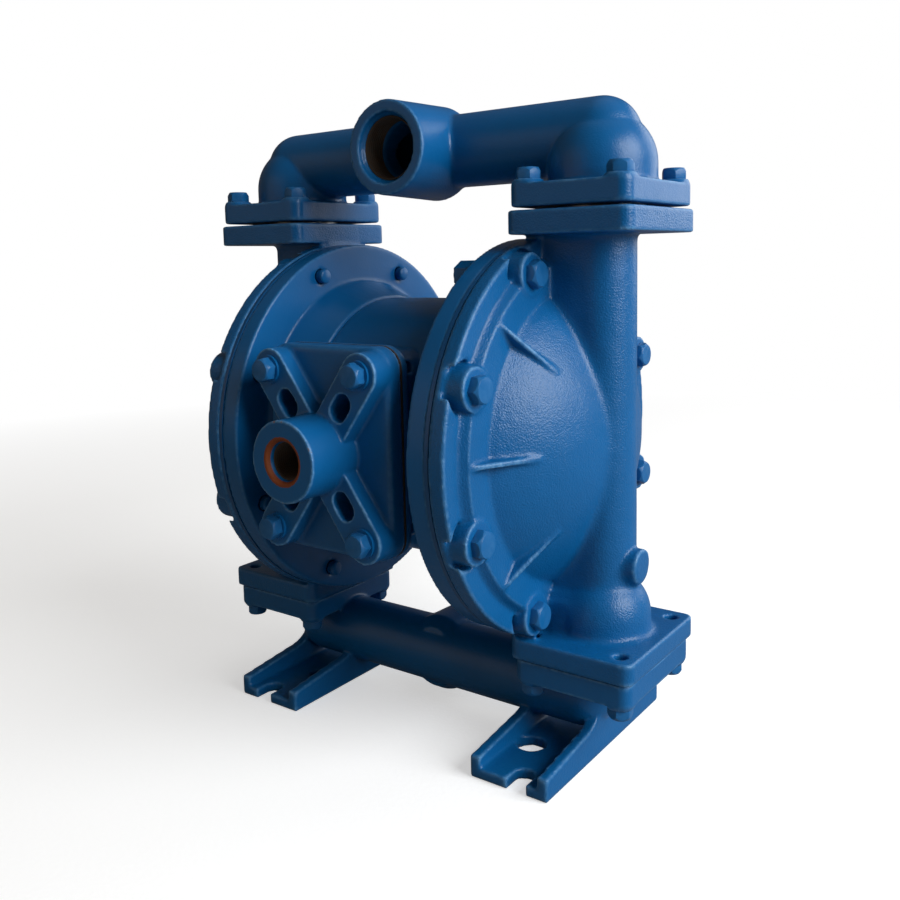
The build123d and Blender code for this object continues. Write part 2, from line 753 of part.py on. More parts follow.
# Main air valve: body, gasket, sleeve, spool, end caps, screws and muffler
with BuildPart() as valve_gasket:
    rounded_block(facing_back(rear_pad_y), rear_pad_half_x, valve_half_z, valve_corner, gasket_thick)
    many_bars(facing_back(rear_pad_y), valve_screw_places(), m8_radius, gasket_thick, Mode.SUBTRACT)
    round_bar(facing_back(rear_pad_y, z=supply_port_z), air_port_radius, gasket_thick, Mode.SUBTRACT)
    for side in sides.values():
        port = facing_back(rear_pad_y, side * (drum_end_x - air_port_length), air_port_z)
        round_bar(port, air_port_radius, gasket_thick, Mode.SUBTRACT)
save(valve_gasket, "valve_gasket")

with BuildPart() as valve_body:
    rounded_block(
        facing_back(valve_front_y), valve_half_x, valve_half_z, valve_corner, valve_back_y - valve_front_y
    )
    round_bar(facing_back(valve_y), exhaust_boss_radius, exhaust_boss_y - valve_y)
    round_bar(across(-valve_half_x, valve_y), valve_bore, 2 * valve_half_x, Mode.SUBTRACT)
    round_cut(facing_back(exhaust_boss_y), exhaust_thread, exhaust_boss_y - valve_y)
    supply_port = facing_back(valve_front_y, z=supply_port_z)
    round_bar(supply_port, air_port_radius, valve_y - valve_front_y, Mode.SUBTRACT)
    for side in sides.values():
        port = facing_back(valve_front_y, side * (drum_end_x - air_port_length), air_port_z)
        round_bar(port, air_port_radius, valve_y - valve_front_y, Mode.SUBTRACT)
        end = across(side * valve_half_x, valve_y)
        many_bars(end, end_screw_places(), end_screw_radius, -side * end_screw_depth, Mode.SUBTRACT)
    bores = valve_back_y - valve_front_y
    screw_hole = m8_radius + through_clearance
    many_bars(facing_back(valve_front_y), valve_screw_places(), screw_hole, bores, Mode.SUBTRACT)
save(valve_body, "main_valve_body")

with BuildPart() as valve_sleeve:
    ring_at(0, valve_y, valve_bore, spool_radius + running_fit, 2 * valve_half_x)
    for x in (-valve_port_pitch, 0, valve_port_pitch):
        ring_at(x, valve_y, valve_bore, valve_bore - sleeve_groove, valve_port_width, Mode.SUBTRACT)
        for plane in (level(axis_z, x, valve_y), facing_back(valve_y, x)):
            with BuildSketch(plane):
                Circle(sleeve_port_radius)
            extrude(amount=valve_bore, both=True, mode=Mode.SUBTRACT)
save(valve_sleeve, "main_valve_sleeve")

with BuildPart() as main_spool:
    grooved_spool(
        valve_y,
        spool_radius,
        spool_half,
        spool_groove_width,
        spool_groove_depth,
        valve_port_pitch,
        spool_seal_x,
    )
save(main_spool, "main_spool")

with BuildPart() as spool_seals:
    for side in sides.values():
        ring_at(side * spool_seal_x, valve_y, spool_radius, spool_radius - seal_depth, seal_width)
save(spool_seals, "main_spool_seals")

with BuildPart() as end_cap:
    cap_face = across(valve_half_x, valve_y)
    rounded_block(cap_face, end_cap_half, end_cap_half, valve_corner, end_cap_thick)
    many_bars(cap_face, end_screw_places(), end_screw_radius + through_clearance, end_cap_thick, Mode.SUBTRACT)
save_pair(end_cap, "valve_end_cap")

with BuildPart() as end_screws:
    for side in sides.values():
        seat = across(side * (valve_half_x + end_cap_thick), valve_y)
        many_bars(seat, end_screw_places(), end_screw_head, side * end_screw_head)
        many_bars(
            seat,
            end_screw_places(),
            end_screw_radius - thread_clearance,
            -side * (end_cap_thick + end_screw_depth - blind_gap),
        )
save(end_screws, "valve_end_cap_screws")

with BuildPart() as valve_screws:
    many_bars(facing_back(valve_back_y), valve_screw_places(), valve_screw_head, 2 * m8_radius)
    screw_length = valve_back_y - rear_pad_y + valve_screw_depth - blind_gap
    many_bars(facing_back(valve_back_y), valve_screw_places(), m8_radius - thread_clearance, -screw_length)
save(valve_screws, "valve_body_screws")

muffler_axis = Axis((0, 0, axis_z), (0, 1, 0))
muffler_plane = Plane(origin=(0, 0, axis_z), x_dir=(0, 1, 0), z_dir=(1, 0, 0))
muffler_end = exhaust_boss_y + muffler_hex_height + muffler_length
with BuildPart() as muffler:
    round_bar(facing_back(exhaust_boss_y), exhaust_thread - thread_clearance, -muffler_thread)
    with BuildSketch(facing_back(exhaust_boss_y)):
        RegularPolygon(muffler_hex, 6)
    extrude(amount=muffler_hex_height)
    turned(
        [
            (exhaust_boss_y + muffler_hex_height, 0),
            (exhaust_boss_y + muffler_hex_height, muffler_radius - muffler_bevel),
            (exhaust_boss_y + muffler_hex_height + muffler_bevel, muffler_radius),
            (muffler_end - muffler_dome, muffler_radius),
            (muffler_end - muffler_bevel, muffler_radius - muffler_bevel),
            (muffler_end, muffler_tip),
            (muffler_end, 0),
        ],
        axis=muffler_axis,
        plane=muffler_plane,
    )
save(muffler, "exhaust_muffler")

# Check valves: seat ring, seal ring and ball at each of the four port joints
def seat_ring(z, label):
    """Ring with a 45 degree lead at its upper edge; its bottom face lies at z."""
    top = z + seat_thick
    with BuildPart() as seat:
        turned(
            [
                (seat_bore, z),
                (seat_radius, z),
                (seat_radius, top),
                (seat_apex, top),
                (seat_bore, top - seat_cone),
            ],
            axis=Axis((port_x, 0, 0), (0, 0, 1)),
            plane=Plane(origin=(port_x, 0, 0), x_dir=(1, 0, 0), z_dir=(0, -1, 0)),
        )
    save_pair(seat, label)


def check_ball(z, label):
    with BuildPart() as ball:
        with Locations((port_x, 0, z)):
            Sphere(ball_radius)
    save_pair(ball, label)


def seat_seals(z, label):
    with BuildPart() as seals:
        for side in sides.values():
            with BuildSketch(level(z, side * port_x)):
                Circle(seal_radius)
                Circle(seal_bore, mode=Mode.SUBTRACT)
            extrude(amount=seal_thick)
    save(seals, label)


seat_ring(suction_seat_z, "suction_seat")
seat_ring(discharge_seat_z, "discharge_seat")
check_ball(suction_ball_z, "suction_ball")
check_ball(discharge_ball_z, "discharge_ball")
seat_seals(suction_seat_z - seal_thick, "suction_seat_seals")
seat_seals(discharge_seat_z - seal_thick, "discharge_seat_seals")


# Manifolds
def pipe_with_port(z, radius, end_x, boss_radius, facing):
    """Pipe along X with round ends, and a port boss on the side that the plane helper faces."""
    round_bar(across(-end_x, z=z), radius, 2 * end_x)
    with Locations((-end_x, 0, z), (end_x, 0, z)):
        Sphere(radius)
    face = facing(port_reach, z=z)
    direction = -1 if facing is facing_front else 1
    turned(
        [
            (direction * port_reach, 0),
            (direction * port_reach, boss_radius),
            (-direction * boss_tail, boss_radius + port_boss_draft),
            (-direction * (boss_tail + boss_taper), radius - boss_sink),
            (-direction * (boss_tail + boss_taper), 0),
        ],
        axis=Axis((0, 0, z), (0, 1, 0)),
        plane=Plane(origin=(0, 0, z), x_dir=(0, 1, 0), z_dir=(1, 0, 0)),
    )
    return face


def pipe_bores(z, radius, end_x, face):
    """Bore along the pipe and the threaded port that opens into it."""
    round_bar(across(-end_x, z=z), radius, 2 * end_x, Mode.SUBTRACT)
    with Locations((-end_x, 0, z), (end_x, 0, z)):
        Sphere(radius, mode=Mode.SUBTRACT)
    round_cut(face, radius, port_reach)
    round_cut(face, port_thread, port_thread_depth)
    round_cut(face, port_lead_radius, port_lead_depth)


port_bolt_hole = m10_radius + through_clearance
top_manifold_z = discharge_seat_z + manifold_flange_thick
stop_z = discharge_ball_z + ball_radius + ball_lift + ball_gap
with BuildPart() as discharge:
    port_face = pipe_with_port(
        discharge_z, discharge_pipe_radius, discharge_end_x, discharge_boss_radius, facing_front
    )
    for x in (-port_x, port_x):
        round_bar(level(discharge_seat_z, x), elbow_radius, elbow_centre_z - discharge_seat_z)
        half_ball(x, elbow_centre_z, elbow_radius)
        rounded_block(
            level(discharge_seat_z, x),
            flange_x - flange_step,
            flange_y - flange_step,
            flange_corner,
            manifold_flange_thick,
        )
        many_bars(level(top_manifold_z, x), port_bolt_places(), washer_radius, pad_height)
    pipe_bores(discharge_z, discharge_pipe_radius - pipe_wall, discharge_end_x, port_face)
    for x in (-port_x, port_x):
        floor = level(discharge_seat_z, x)
        round_bar(floor, elbow_radius - elbow_wall, elbow_centre_z - discharge_seat_z, Mode.SUBTRACT)
        half_ball(x, elbow_centre_z, elbow_radius - elbow_wall, mode=Mode.SUBTRACT)
        round_bar(floor, seat_radius + seat_clearance, seat_thick, Mode.SUBTRACT)
        many_bars(floor, port_bolt_places(), port_bolt_hole, manifold_flange_thick + pad_height, Mode.SUBTRACT)
    with BuildSketch(level(stop_z)):
        with Locations((-port_x, 0), (port_x, 0)):
            Rectangle(stop_thick, stop_width)
    extrude(amount=discharge_z + discharge_pipe_radius - pipe_wall / 2 - stop_z)
save(discharge, "discharge_manifold")

bottom_face_z = suction_seat_z - bottom_joint_gap
bottom_manifold_z = bottom_face_z - manifold_flange_thick
suction_seat_plane_z = bottom_manifold_z - pad_height
foot_root_z = bottom_manifold_z + foot_sink
foot_side = Plane(origin=(0, 0, 0), x_dir=(0, 1, 0), z_dir=(1, 0, 0))
with BuildPart() as suction:
    port_face = pipe_with_port(suction_z, suction_pipe_radius, suction_end_x, suction_boss_radius, facing_back)
    for x in (-port_x, port_x):
        neck_x = copysign(suction_neck_x, x)
        round_bar(level(suction_z, neck_x), suction_neck_radius, bottom_manifold_z - suction_z)
        half_ball(neck_x, suction_z, suction_neck_radius, upper=False)
        rounded_block(
            level(bottom_manifold_z, x),
            flange_x - flange_step,
            flange_y - flange_step,
            flange_corner,
            manifold_flange_thick,
        )
        many_bars(level(bottom_manifold_z, x), port_bolt_places(), washer_radius, -pad_height)
    for x in (-foot_x, foot_x):
        with BuildSketch(level(0, x)):
            Rectangle(2 * foot_half_width, 2 * foot_reach)
        extrude(amount=foot_base)
    for edge in (foot_x - foot_half_width, foot_x + foot_half_width - foot_wall):
        for side in sides.values():
            start = side * edge
            with BuildSketch(foot_side.offset(start)):
                with BuildLine():
                    Line((-foot_reach, 0), (foot_reach, 0))
                    Line((foot_reach, 0), (foot_reach, foot_tip_height))
                    Line((foot_reach, foot_tip_height), (foot_knee_y, foot_knee_height))
                    TangentArc(
                        (foot_knee_y, foot_knee_height),
                        (foot_root_y, foot_root_z),
                        tangent=(foot_knee_y - foot_reach, foot_knee_height - foot_tip_height),
                    )
                    Line((foot_root_y, foot_root_z), (-foot_root_y, foot_root_z))
                    TangentArc(
                        (-foot_knee_y, foot_knee_height),
                        (-foot_root_y, foot_root_z),
                        tangent=(foot_reach - foot_knee_y, foot_knee_height - foot_tip_height),
                    )
                    Line((-foot_knee_y, foot_knee_height), (-foot_reach, foot_tip_height))
                    Line((-foot_reach, foot_tip_height), (-foot_reach, 0))
                make_face()
            extrude(amount=side * foot_wall)
    with BuildSketch(level(0)):
        for x in (-foot_slot_x, foot_slot_x):
            for y in (-foot_reach, foot_reach):
                with Locations((x, y)):
                    SlotOverall(2 * foot_slot_depth, foot_slot_width, rotation=90)
        for x in (-foot_hole_x, foot_hole_x):
            for y in (-foot_hole_y, foot_hole_y):
                with Locations((x, y)):
                    Circle(foot_hole_radius)
    extrude(amount=foot_base, mode=Mode.SUBTRACT)
    pipe_bores(suction_z, suction_pipe_radius - pipe_wall, suction_end_x, port_face)
    for x in (-port_x, port_x):
        neck_top_z = bottom_manifold_z + port_floor
        round_cut(level(neck_top_z, copysign(suction_neck_x, x)), seal_bore, neck_top_z - suction_z)
        round_cut(level(bottom_face_z, x), seal_bore, manifold_flange_thick - port_floor)
        round_cut(level(bottom_face_z, x), seal_radius + seat_clearance, seal_thick - bottom_joint_gap)
        pads = level(suction_seat_plane_z, x)
        many_bars(pads, port_bolt_places(), port_bolt_hole, manifold_flange_thick + pad_height, Mode.SUBTRACT)
save(suction, "suction_manifold")

# Flange and rim bolts
discharge_seat_plane_z = top_manifold_z + pad_height
discharge_bolt_length = discharge_seat_plane_z - top_joint_z + top_flange_thick - bolt_tail
with BuildPart() as discharge_bolts:
    for x in (-port_x, port_x):
        hex_bolts(
            level(discharge_seat_plane_z, x),
            port_bolt_places(),
            m10_radius,
            m10_head,
            m10_head_height,
            discharge_bolt_length,
        )
save(discharge_bolts, "discharge_bolts")

suction_bolt_length = bottom_flange_z + bottom_flange_thick - bolt_tail - suction_seat_plane_z
with BuildPart() as suction_bolts:
    for x in (-port_x, port_x):
        hex_bolts(
            Plane(origin=(x, 0, suction_seat_plane_z), x_dir=(1, 0, 0), z_dir=(0, 0, -1)),
            port_bolt_places(),
            m10_radius,
            m10_head,
            m10_head_height,
            suction_bolt_length,
        )
save(suction_bolts, "suction_bolts")

rim_bolt_length = rim_boss_x - inner_rim_x + rim_bolt_tail
with BuildPart() as rim_bolts:
    hex_bolts(across(rim_boss_x), rim_places(), m12_radius, m12_head, m12_head_height, rim_bolt_length)
save(mirrored(rim_bolts), "chamber_bolts_left")

# One bolt of the right chamber is longer and carries the earthing lead's long nut behind the rim
earth_angle = radians((earth_place + 0.5) * 360 / rim_bolt_count)
earth_y = rim_bolt_circle * cos(earth_angle)
earth_z = axis_z + rim_bolt_circle * sin(earth_angle)
earth_plane = across(inner_rim_x, earth_y, earth_z)
with BuildPart() as right_rim_bolts:
    add(rim_bolts.part)
    round_bar(earth_plane, m12_radius - thread_clearance, -earth_nut_length - bolt_tail)
save(right_rim_bolts, "chamber_bolts_right")

with BuildPart() as earth_nut:
    with BuildSketch(earth_plane):
        RegularPolygon(m12_head, 6, rotation=30)
    extrude(amount=-earth_nut_length)
    round_bar(earth_plane, m12_radius, -earth_nut_length, Mode.SUBTRACT)
save(earth_nut, "earthing_nut")
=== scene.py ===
"""Air operated diaphragm pump: cast skins, hexagon bolts, pipe threads, finishes and studio."""

import json
import math

import bpy
import numpy as np
from bpy.props import FloatProperty, FloatVectorProperty, IntProperty, PointerProperty
from mathutils import Matrix, Vector

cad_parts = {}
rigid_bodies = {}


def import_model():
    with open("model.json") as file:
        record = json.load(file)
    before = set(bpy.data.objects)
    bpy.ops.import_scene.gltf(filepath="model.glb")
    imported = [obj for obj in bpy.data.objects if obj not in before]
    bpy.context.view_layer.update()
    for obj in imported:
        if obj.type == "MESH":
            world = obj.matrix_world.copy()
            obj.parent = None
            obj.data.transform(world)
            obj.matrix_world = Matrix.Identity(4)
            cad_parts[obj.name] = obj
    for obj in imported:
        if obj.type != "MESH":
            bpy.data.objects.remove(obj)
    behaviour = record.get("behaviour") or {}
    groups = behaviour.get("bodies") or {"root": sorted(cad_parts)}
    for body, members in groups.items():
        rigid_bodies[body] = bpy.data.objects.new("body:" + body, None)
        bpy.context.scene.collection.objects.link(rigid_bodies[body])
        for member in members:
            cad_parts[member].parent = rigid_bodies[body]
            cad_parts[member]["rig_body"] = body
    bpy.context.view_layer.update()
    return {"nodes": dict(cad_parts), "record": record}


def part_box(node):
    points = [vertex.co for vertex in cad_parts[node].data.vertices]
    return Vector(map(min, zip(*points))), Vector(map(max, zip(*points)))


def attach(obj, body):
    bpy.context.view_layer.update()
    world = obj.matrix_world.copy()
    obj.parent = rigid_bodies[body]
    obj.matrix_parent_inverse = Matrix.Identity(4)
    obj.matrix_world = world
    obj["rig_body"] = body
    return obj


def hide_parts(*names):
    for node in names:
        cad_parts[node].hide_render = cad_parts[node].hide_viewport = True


bl_info = {
    "name": "Diaphragm Pump Finisher",
    "version": (1, 0, 0),
    "blender": (4, 5, 0),
    "location": "3D View > Sidebar > Pump",
    "description": "Dresses the packed diaphragm pump with cast skins, bolts, threads and paint",
    "category": "Object",
}

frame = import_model()
mounts = {mount["name"]: Vector(mount["pos_m"]) for mount in frame["record"]["mounts"]}
HOUSING = "housing"
LEFT_RIGHT = {"left": -1, "right": 1}

# Settings


def size(name, description, default, **limits):
    """A length that a user can set."""
    return FloatProperty(
        name=name, description=description, default=default, unit="LENGTH", **limits
    )


def power(name, description, watts):
    """A lamp's power that a user can set."""
    return FloatProperty(name=name, description=description, default=watts, min=0, unit="POWER")


def colour(name, description, red, green, blue):
    """A colour that a user can set."""
    return FloatVectorProperty(
        name=name, description=description, default=(red, green, blue, 1.0), subtype="COLOR",
        size=4, min=0, max=1,
    )


class LayoutSettings(bpy.types.PropertyGroup):
    rod_height: size("Rod height", "Height of the rims' common axis", 0.240)
    port_offset: size("Port offset", "Distance of the port flanges from the middle", 0.150)


class ChamberSettings(bpy.types.PropertyGroup):
    dome_centre: size("Dome centre", "Distance of the domes' centres from the middle", 0.011)
    dome_radius: size("Dome radius", "Outer radius of the domes", 0.155)
    riser_radius: size("Riser radius", "Outer radius of the risers", 0.0248)
    cage_radius: size("Cage radius", "Outer radius of the round ball cages", 0.0358)
    cage_height: size("Cage height", "Height of the ball cages' centres", 0.108)
    outlet_tilt: FloatProperty(
        name="Outlet tilt", description="Lean of the passage from a cage into its dome",
        default=math.radians(33.5), subtype="ANGLE",
    )
    top_seat: size("Top flange", "Height where the risers meet their top flanges", 0.3923)
    foot_seat: size("Bottom flange", "Height where the cages meet their bottom flanges", 0.0965)
    waist: size("Waist", "Height where a riser runs into its cage", 0.139)
    rim_end: size("Rim end", "Distance from the middle at which a chamber's rim ends", 0.122)


class CastingSettings(bpy.types.PropertyGroup):
    grain: size("Grain", "Cell size of the cast skins", 0.0015, min=0.001)
    fine_grain: size("Fine grain", "Cell size of the inlet cap's skin", 0.0011, min=0.0008)
    edge_reach: size("Edge reach", "Radius up to which a cast edge counts as sharp", 0.004)
    most_triangles: IntProperty(
        name="Most triangles", description="Triangles that one cast skin may have",
        default=170000, min=20000,
    )
    rounding: IntProperty(
        name="Rounding", description="Smoothing passes that round the cast edges",
        default=3, min=0,
    )
    blending: IntProperty(
        name="Blending", description="Smoothing passes where a riser or cage meets its casting",
        default=40, min=0,
    )


class BoltSettings(bpy.types.PropertyGroup):
    rim_circle: size("Rim bolt circle", "Radius of the rim bolts' circle", 0.1347)
    rim_count: IntProperty(
        name="Rim bolts", description="Bolts in each rim", default=8, min=1
    )
    earth_place: IntProperty(
        name="Earthing bolt", description="Which of the right rim's bolts is the long one",
        default=2, min=0,
    )
    rim_head: size("Rim bolt head", "Radius of a rim bolt's head over its corners", 0.0106)
    rim_height: size("Rim bolt height", "Height of a rim bolt's head", 0.0074)
    rim_shank: size("Rim bolt shank", "Radius of a rim bolt's thread", 0.0059)
    rim_tail: size("Rim bolt tail", "Length of thread behind a rim", 0.0069)
    head: size("Flange bolt head", "Radius of the other bolts' heads over their corners", 0.0093)
    height: size("Flange bolt height", "Height of the other bolts' heads", 0.0080)
    shank: size("Flange bolt shank", "Radius of the other bolts' threads", 0.0048)
    pitch: size("Bolt pitch", "Pitch of the bolts' threads", 0.00175)
    port_across: size("Flange bolt offset X", "Flange bolts' offset left and right", 0.0356)
    port_along: size("Flange bolt offset Y", "Flange bolts' offset front and back", 0.0446)
    cap_across: size("Cap bolt offset X", "Inlet cap bolts' offset left and right", 0.0425)
    cap_up: size("Cap bolt offset Z", "Inlet cap bolts' offset up and down", 0.0584)
    edge_reach: size("Edge reach", "Radius up to which a bolt's edge counts as sharp", 0.0012)


class ThreadSettings(bpy.types.PropertyGroup):
    port_pitch: size("Port pitch", "Pitch of the 1 1/2 inch pipe thread", 0.00221)
    port_radius: size("Port radius", "Outer radius of the ports' threads", 0.0240)
    port_length: size("Port length", "Length of the ports' threads", 0.0200)
    port_depth: size("Port thread depth", "Depth of the ports' threads", 0.0014)
    port_lead: size("Port lead", "Start of a port's thread in front of its mount", 0.0096)
    inlet_pitch: size("Inlet pitch", "Pitch of the 3/4 inch pipe thread", 0.00181)
    inlet_radius: size("Inlet radius", "Outer radius of the inlet's thread", 0.0133)
    inlet_length: size("Inlet length", "Length of the inlet's thread", 0.0220)
    inlet_depth: size("Inlet thread depth", "Depth of the inlet's thread", 0.0011)
    inlet_lead: size("Inlet lead", "Start of the inlet's thread in front of its mount", 0.0275)


class PaintSettings(bpy.types.PropertyGroup):
    enamel: colour("Enamel", "Blue enamel of the castings", 0.003, 0.114, 0.325)
    # Also painted shade: the enamel's inner corners are darkened toward this colour.
    enamel_deep_and_shade: colour("Deep enamel", "Enamel where it lies thick", 0.001, 0.072, 0.215)
    # Also a painted highlight: outer edges are lightened toward this colour beyond the real wear.
    enamel_worn_and_highlit: colour("Worn enamel", "Enamel rubbed thin along edges", 0.130, 0.330, 0.580)
    rust: colour("Rust", "Bare iron round the air inlet", 0.230, 0.052, 0.012)
    cast_iron: colour("Cast iron", "Bare iron of the cut threads", 0.060, 0.052, 0.045)
    pebble: size("Pebble", "Size of the cast skin's pebbles", 0.0012)


class StageSettings(bpy.types.PropertyGroup):
    window: power("Window", "Power of the window light", 74.0)
    overhead: power("Overhead", "Power of the overhead light", 3.0)
    far_window: power("Far window", "Power of the light at the back", 19.0)
    fill: power("Fill", "Power of the warm light at the front", 6.0)
    room: FloatProperty(
        name="Room", description="Brightness of the room's light on the pump",
        default=0.09, min=0,
    )
    floor_span: size("Floor span", "Width of the floor", 40.0)


def settings(name):
    return getattr(bpy.context.scene, f"pump_{name}")


# Shader nodes


class Shader:
    """The nodes of a new material or world."""

    def __init__(self, name, family="Material"):
        self.owner = getattr(bpy.data, f"{family.lower()}s").new(name)
        self.owner.use_nodes = True
        self.tree = self.owner.node_tree
        self.tree.nodes.clear()
        self.output = self.tree.nodes.new(f"ShaderNodeOutput{family}")

    def node(self, kind, options=None, values=(), **inputs):
        """Adds a node: its options are set first, then its sockets in order and by name."""
        made = self.tree.nodes.new(f"ShaderNode{kind}")
        for key, value in (options or {}).items():
            setattr(made, key, value)
        for socket, value in zip(made.inputs, values):
            self.feed(socket, value)
        for key, value in inputs.items():
            self.feed(socket_of(made, key), value)
        return made

    def feed(self, socket, value):
        if isinstance(value, Field):
            self.tree.links.new(value.socket, socket)
        elif isinstance(value, bpy.types.NodeSocket):
            self.tree.links.new(value, socket)
        else:
            socket.default_value = value

    def read(self, kind, output, **options):
        """A number that a node with no links gives."""
        return Field(self, self.node(kind, options).outputs[output])

    def place(self):
        """The point in the pump's frame, whole and as its X, Y and Z."""
        point = self.node("TexCoord").outputs["Object"]
        split = self.node("SeparateXYZ", Vector=point)
        return point, [Field(self, split.outputs[axis]) for axis in "XYZ"]

    def noise(self, point, size, detail=2.0, roughness=0.5):
        made = self.node(
            "TexNoise", Vector=point, Scale=1.0 / size, Detail=detail, Roughness=roughness
        )
        return Field(self, made.outputs["Fac"])

    def edge(self):
        """Roundness that a skin carries: 1 on outer edges, 0 on flats and in corners."""
        return self.read("Attribute", "Fac", attribute_name="edge")

    def corner(self):
        """The same for inner corners."""
        return self.read("Attribute", "Fac", attribute_name="corner")

    def blend(self, share, first, second):
        """Colour between two, by a share from 0 to 1."""
        return self.node("Mix", {"data_type": "RGBA"}, Factor=share, A=first, B=second).outputs[2]

    def bump(self, height, depth):
        return self.node("Bump", Height=height, Distance=depth).outputs["Normal"]

    def glow(self, colour, strength):
        return self.node("Emission", Color=colour, Strength=strength).outputs[0]

    def either(self, share, first, second):
        """Shader between two, by a share from 0 to 1."""
        return self.node("MixShader", values=(share, first, second)).outputs[0]

    def finish(self, surface):
        """Ends the nodes in a surface."""
        self.feed(self.output.inputs["Surface"], surface)
        return self.owner

    def paint(self, **sockets):
        """Ends a material in one principled surface."""
        return self.finish(self.node("BsdfPrincipled", **sockets).outputs[0])


class Field:
    """A number that varies over a surface. Arithmetic on it adds Math nodes."""

    def __init__(self, shader, socket):
        self.shader = shader
        self.socket = socket

    def sum(self, operation, *values, clamp=False):
        options = {"operation": operation, "use_clamp": clamp}
        return Field(self.shader, self.shader.node("Math", options, values).outputs[0])

    def __add__(self, other):
        return self.sum("ADD", self, other)

    def __sub__(self, other):
        return self.sum("SUBTRACT", self, other)

    def __mul__(self, other):
        return self.sum("MULTIPLY", self, other)

    def __pow__(self, other):
        return self.sum("POWER", self, other)

    def __radd__(self, other):
        return self.sum("ADD", other, self)

    def __rsub__(self, other):
        return self.sum("SUBTRACT", other, self)

    def __rmul__(self, other):
        return self.sum("MULTIPLY", other, self)

    def __rpow__(self, other):
        return self.sum("POWER", other, self)

    def clear(self, low, high):
        """0 below low, 1 above high, straight in between."""
        return self.sum("ADD", (self - low) * (1.0 / (high - low)), 0.0, clamp=True)

    def most(self, other):
        return self.sum("MAXIMUM", self, other)


def socket_of(node, key):
    """A node's input by name; the colour mix has several inputs of each name."""
    if node.bl_idname == "ShaderNodeMix":
        return node.inputs[{"Factor": 0, "A": 6, "B": 7}[key]]
    return node.inputs[key.replace("_", " ")]


# Finishes

FINISHES = {}
RUBBER_BLACK = (0.018, 0.018, 0.019, 1.0)

# Where the enamel is off the air inlet: the ring's radius and fade, and how far forward it lies
RUST_RADIUS, RUST_FADE = 0.0178, 0.0005
BARE_FRONT, FLAKED_FRONT = -0.1795, -0.1780

# Radii between which the enamel covers a diaphragm's clamped edge
PAINTED_FROM, PAINTED_TO = 0.1485, 0.1492


def finish_of(name):
    """A finish by name, made the first time that a piece asks for it."""
    if name not in FINISHES:
        FINISHES[name] = MAKERS[name]()
    return FINISHES[name]


def radius_about(first, second):
    """Distance from an axis, out of the two coordinates across it."""
    return (first * first + second * second) ** 0.5


def enamel(shader, pebble_depth, edge_wear_and_highlight, gloss, rust_ring=False):
    """Blue enamel over a casting, with pebbles of a depth, edges rubbed thin and painted lighter as
    a highlight, and painted shade in inner corners.
    """
    paint = settings("paint")
    deep_and_shade = tuple(paint.enamel_deep_and_shade)
    point, (x, y, z) = shader.place()
    grit = shader.noise(point, size=paint.pebble, detail=1.0, roughness=0.4)
    swell = shader.noise(point, size=0.014, detail=2.0)
    tone = shader.noise(point, size=0.055, detail=4.0)
    chips = shader.noise(point, size=0.0045, detail=5.0, roughness=0.65)
    edge = shader.edge()
    # Outer edges: real wear in chips, and a painted highlight that runs along the whole edge.
    rubbed_and_highlit = edge.clear(0.30, 0.95) * (0.35 + chips.clear(0.40, 0.60) * 0.65) * edge_wear_and_highlight
    # Inner corners darkened toward the deep enamel: painted shade.
    shade = shader.blend(shader.corner().clear(0.1, 0.9) * 0.55, tuple(paint.enamel), deep_and_shade)
    shade = shader.blend(tone.clear(0.35, 0.75) * 0.22, shade, deep_and_shade)
    shade = shader.blend(rubbed_and_highlit, shade, tuple(paint.enamel_worn_and_highlit))
    rough = gloss + swell * 0.10 + rubbed_and_highlit * 0.15
    if rust_ring:
        from_axis = radius_about(x, z - mounts["air_inlet"].z)
        ring = (RUST_RADIUS - from_axis + (grit - 0.5) * 0.0012).clear(0.0, RUST_FADE)
        bare = ring * (BARE_FRONT - y).clear(0.0, 0.0006)
        flaked = edge.clear(0.3, 0.8) * chips.clear(0.58, 0.64)
        flaked = flaked * (FLAKED_FRONT - y).clear(0.0, 0.001)
        shade = shader.blend(flaked, shade, (0.20, 0.10, 0.075, 1.0))
        shade = shader.blend(bare, shade, tuple(paint.rust))
        rough = rough + bare * 0.35
    normal = shader.bump(grit + swell * 1.2, pebble_depth)
    return shader.paint(
        Base_Color=shade, Roughness=rough, Normal=normal, Specular_IOR_Level=0.38
    )


def cast_enamel():
    return enamel(Shader("cast_enamel"), pebble_depth=0.00034, edge_wear_and_highlight=0.7, gloss=0.27)


def pipe_enamel():
    return enamel(Shader("pipe_enamel"), pebble_depth=0.00017, edge_wear_and_highlight=0.6, gloss=0.27)


def smooth_enamel():
    return enamel(Shader("smooth_enamel"), pebble_depth=0.00007, edge_wear_and_highlight=0.3, gloss=0.26)


def inlet_enamel():
    return enamel(
        Shader("inlet_enamel"), pebble_depth=0.00012, edge_wear_and_highlight=0.9, gloss=0.30, rust_ring=True
    )


def bolt_enamel():
    return enamel(Shader("bolt_enamel"), pebble_depth=0.00005, edge_wear_and_highlight=0.1, gloss=0.28)


def cut_iron():
    """Bare iron of the cut threads, browned by rust."""
    shader = Shader("cut_iron")
    point, _ = shader.place()
    stain = shader.noise(point, size=0.006, detail=4.0, roughness=0.6)
    iron = tuple(settings("paint").cast_iron)
    shade = shader.blend(stain.clear(0.35, 0.7), iron, (0.085, 0.050, 0.030, 1.0))
    scratches = shader.noise(point, size=0.0008)
    return shader.paint(
        Base_Color=shade, Roughness=0.38 + stain * 0.3, Metallic=0.75,
        Normal=shader.bump(scratches, 0.00008),
    )


def turned_steel():
    """Bright steel with fine turning lines."""
    shader = Shader("turned_steel")
    point, _ = shader.place()
    lines = shader.noise(point, size=0.0006, detail=3.0)
    tone = shader.noise(point, size=0.02, detail=3.0)
    return shader.paint(
        Base_Color=shader.blend(tone, (0.50, 0.50, 0.49, 1.0), (0.60, 0.59, 0.57, 1.0)),
        Roughness=0.22 + lines * 0.15, Metallic=1.0, Normal=shader.bump(lines, 0.00003),
    )


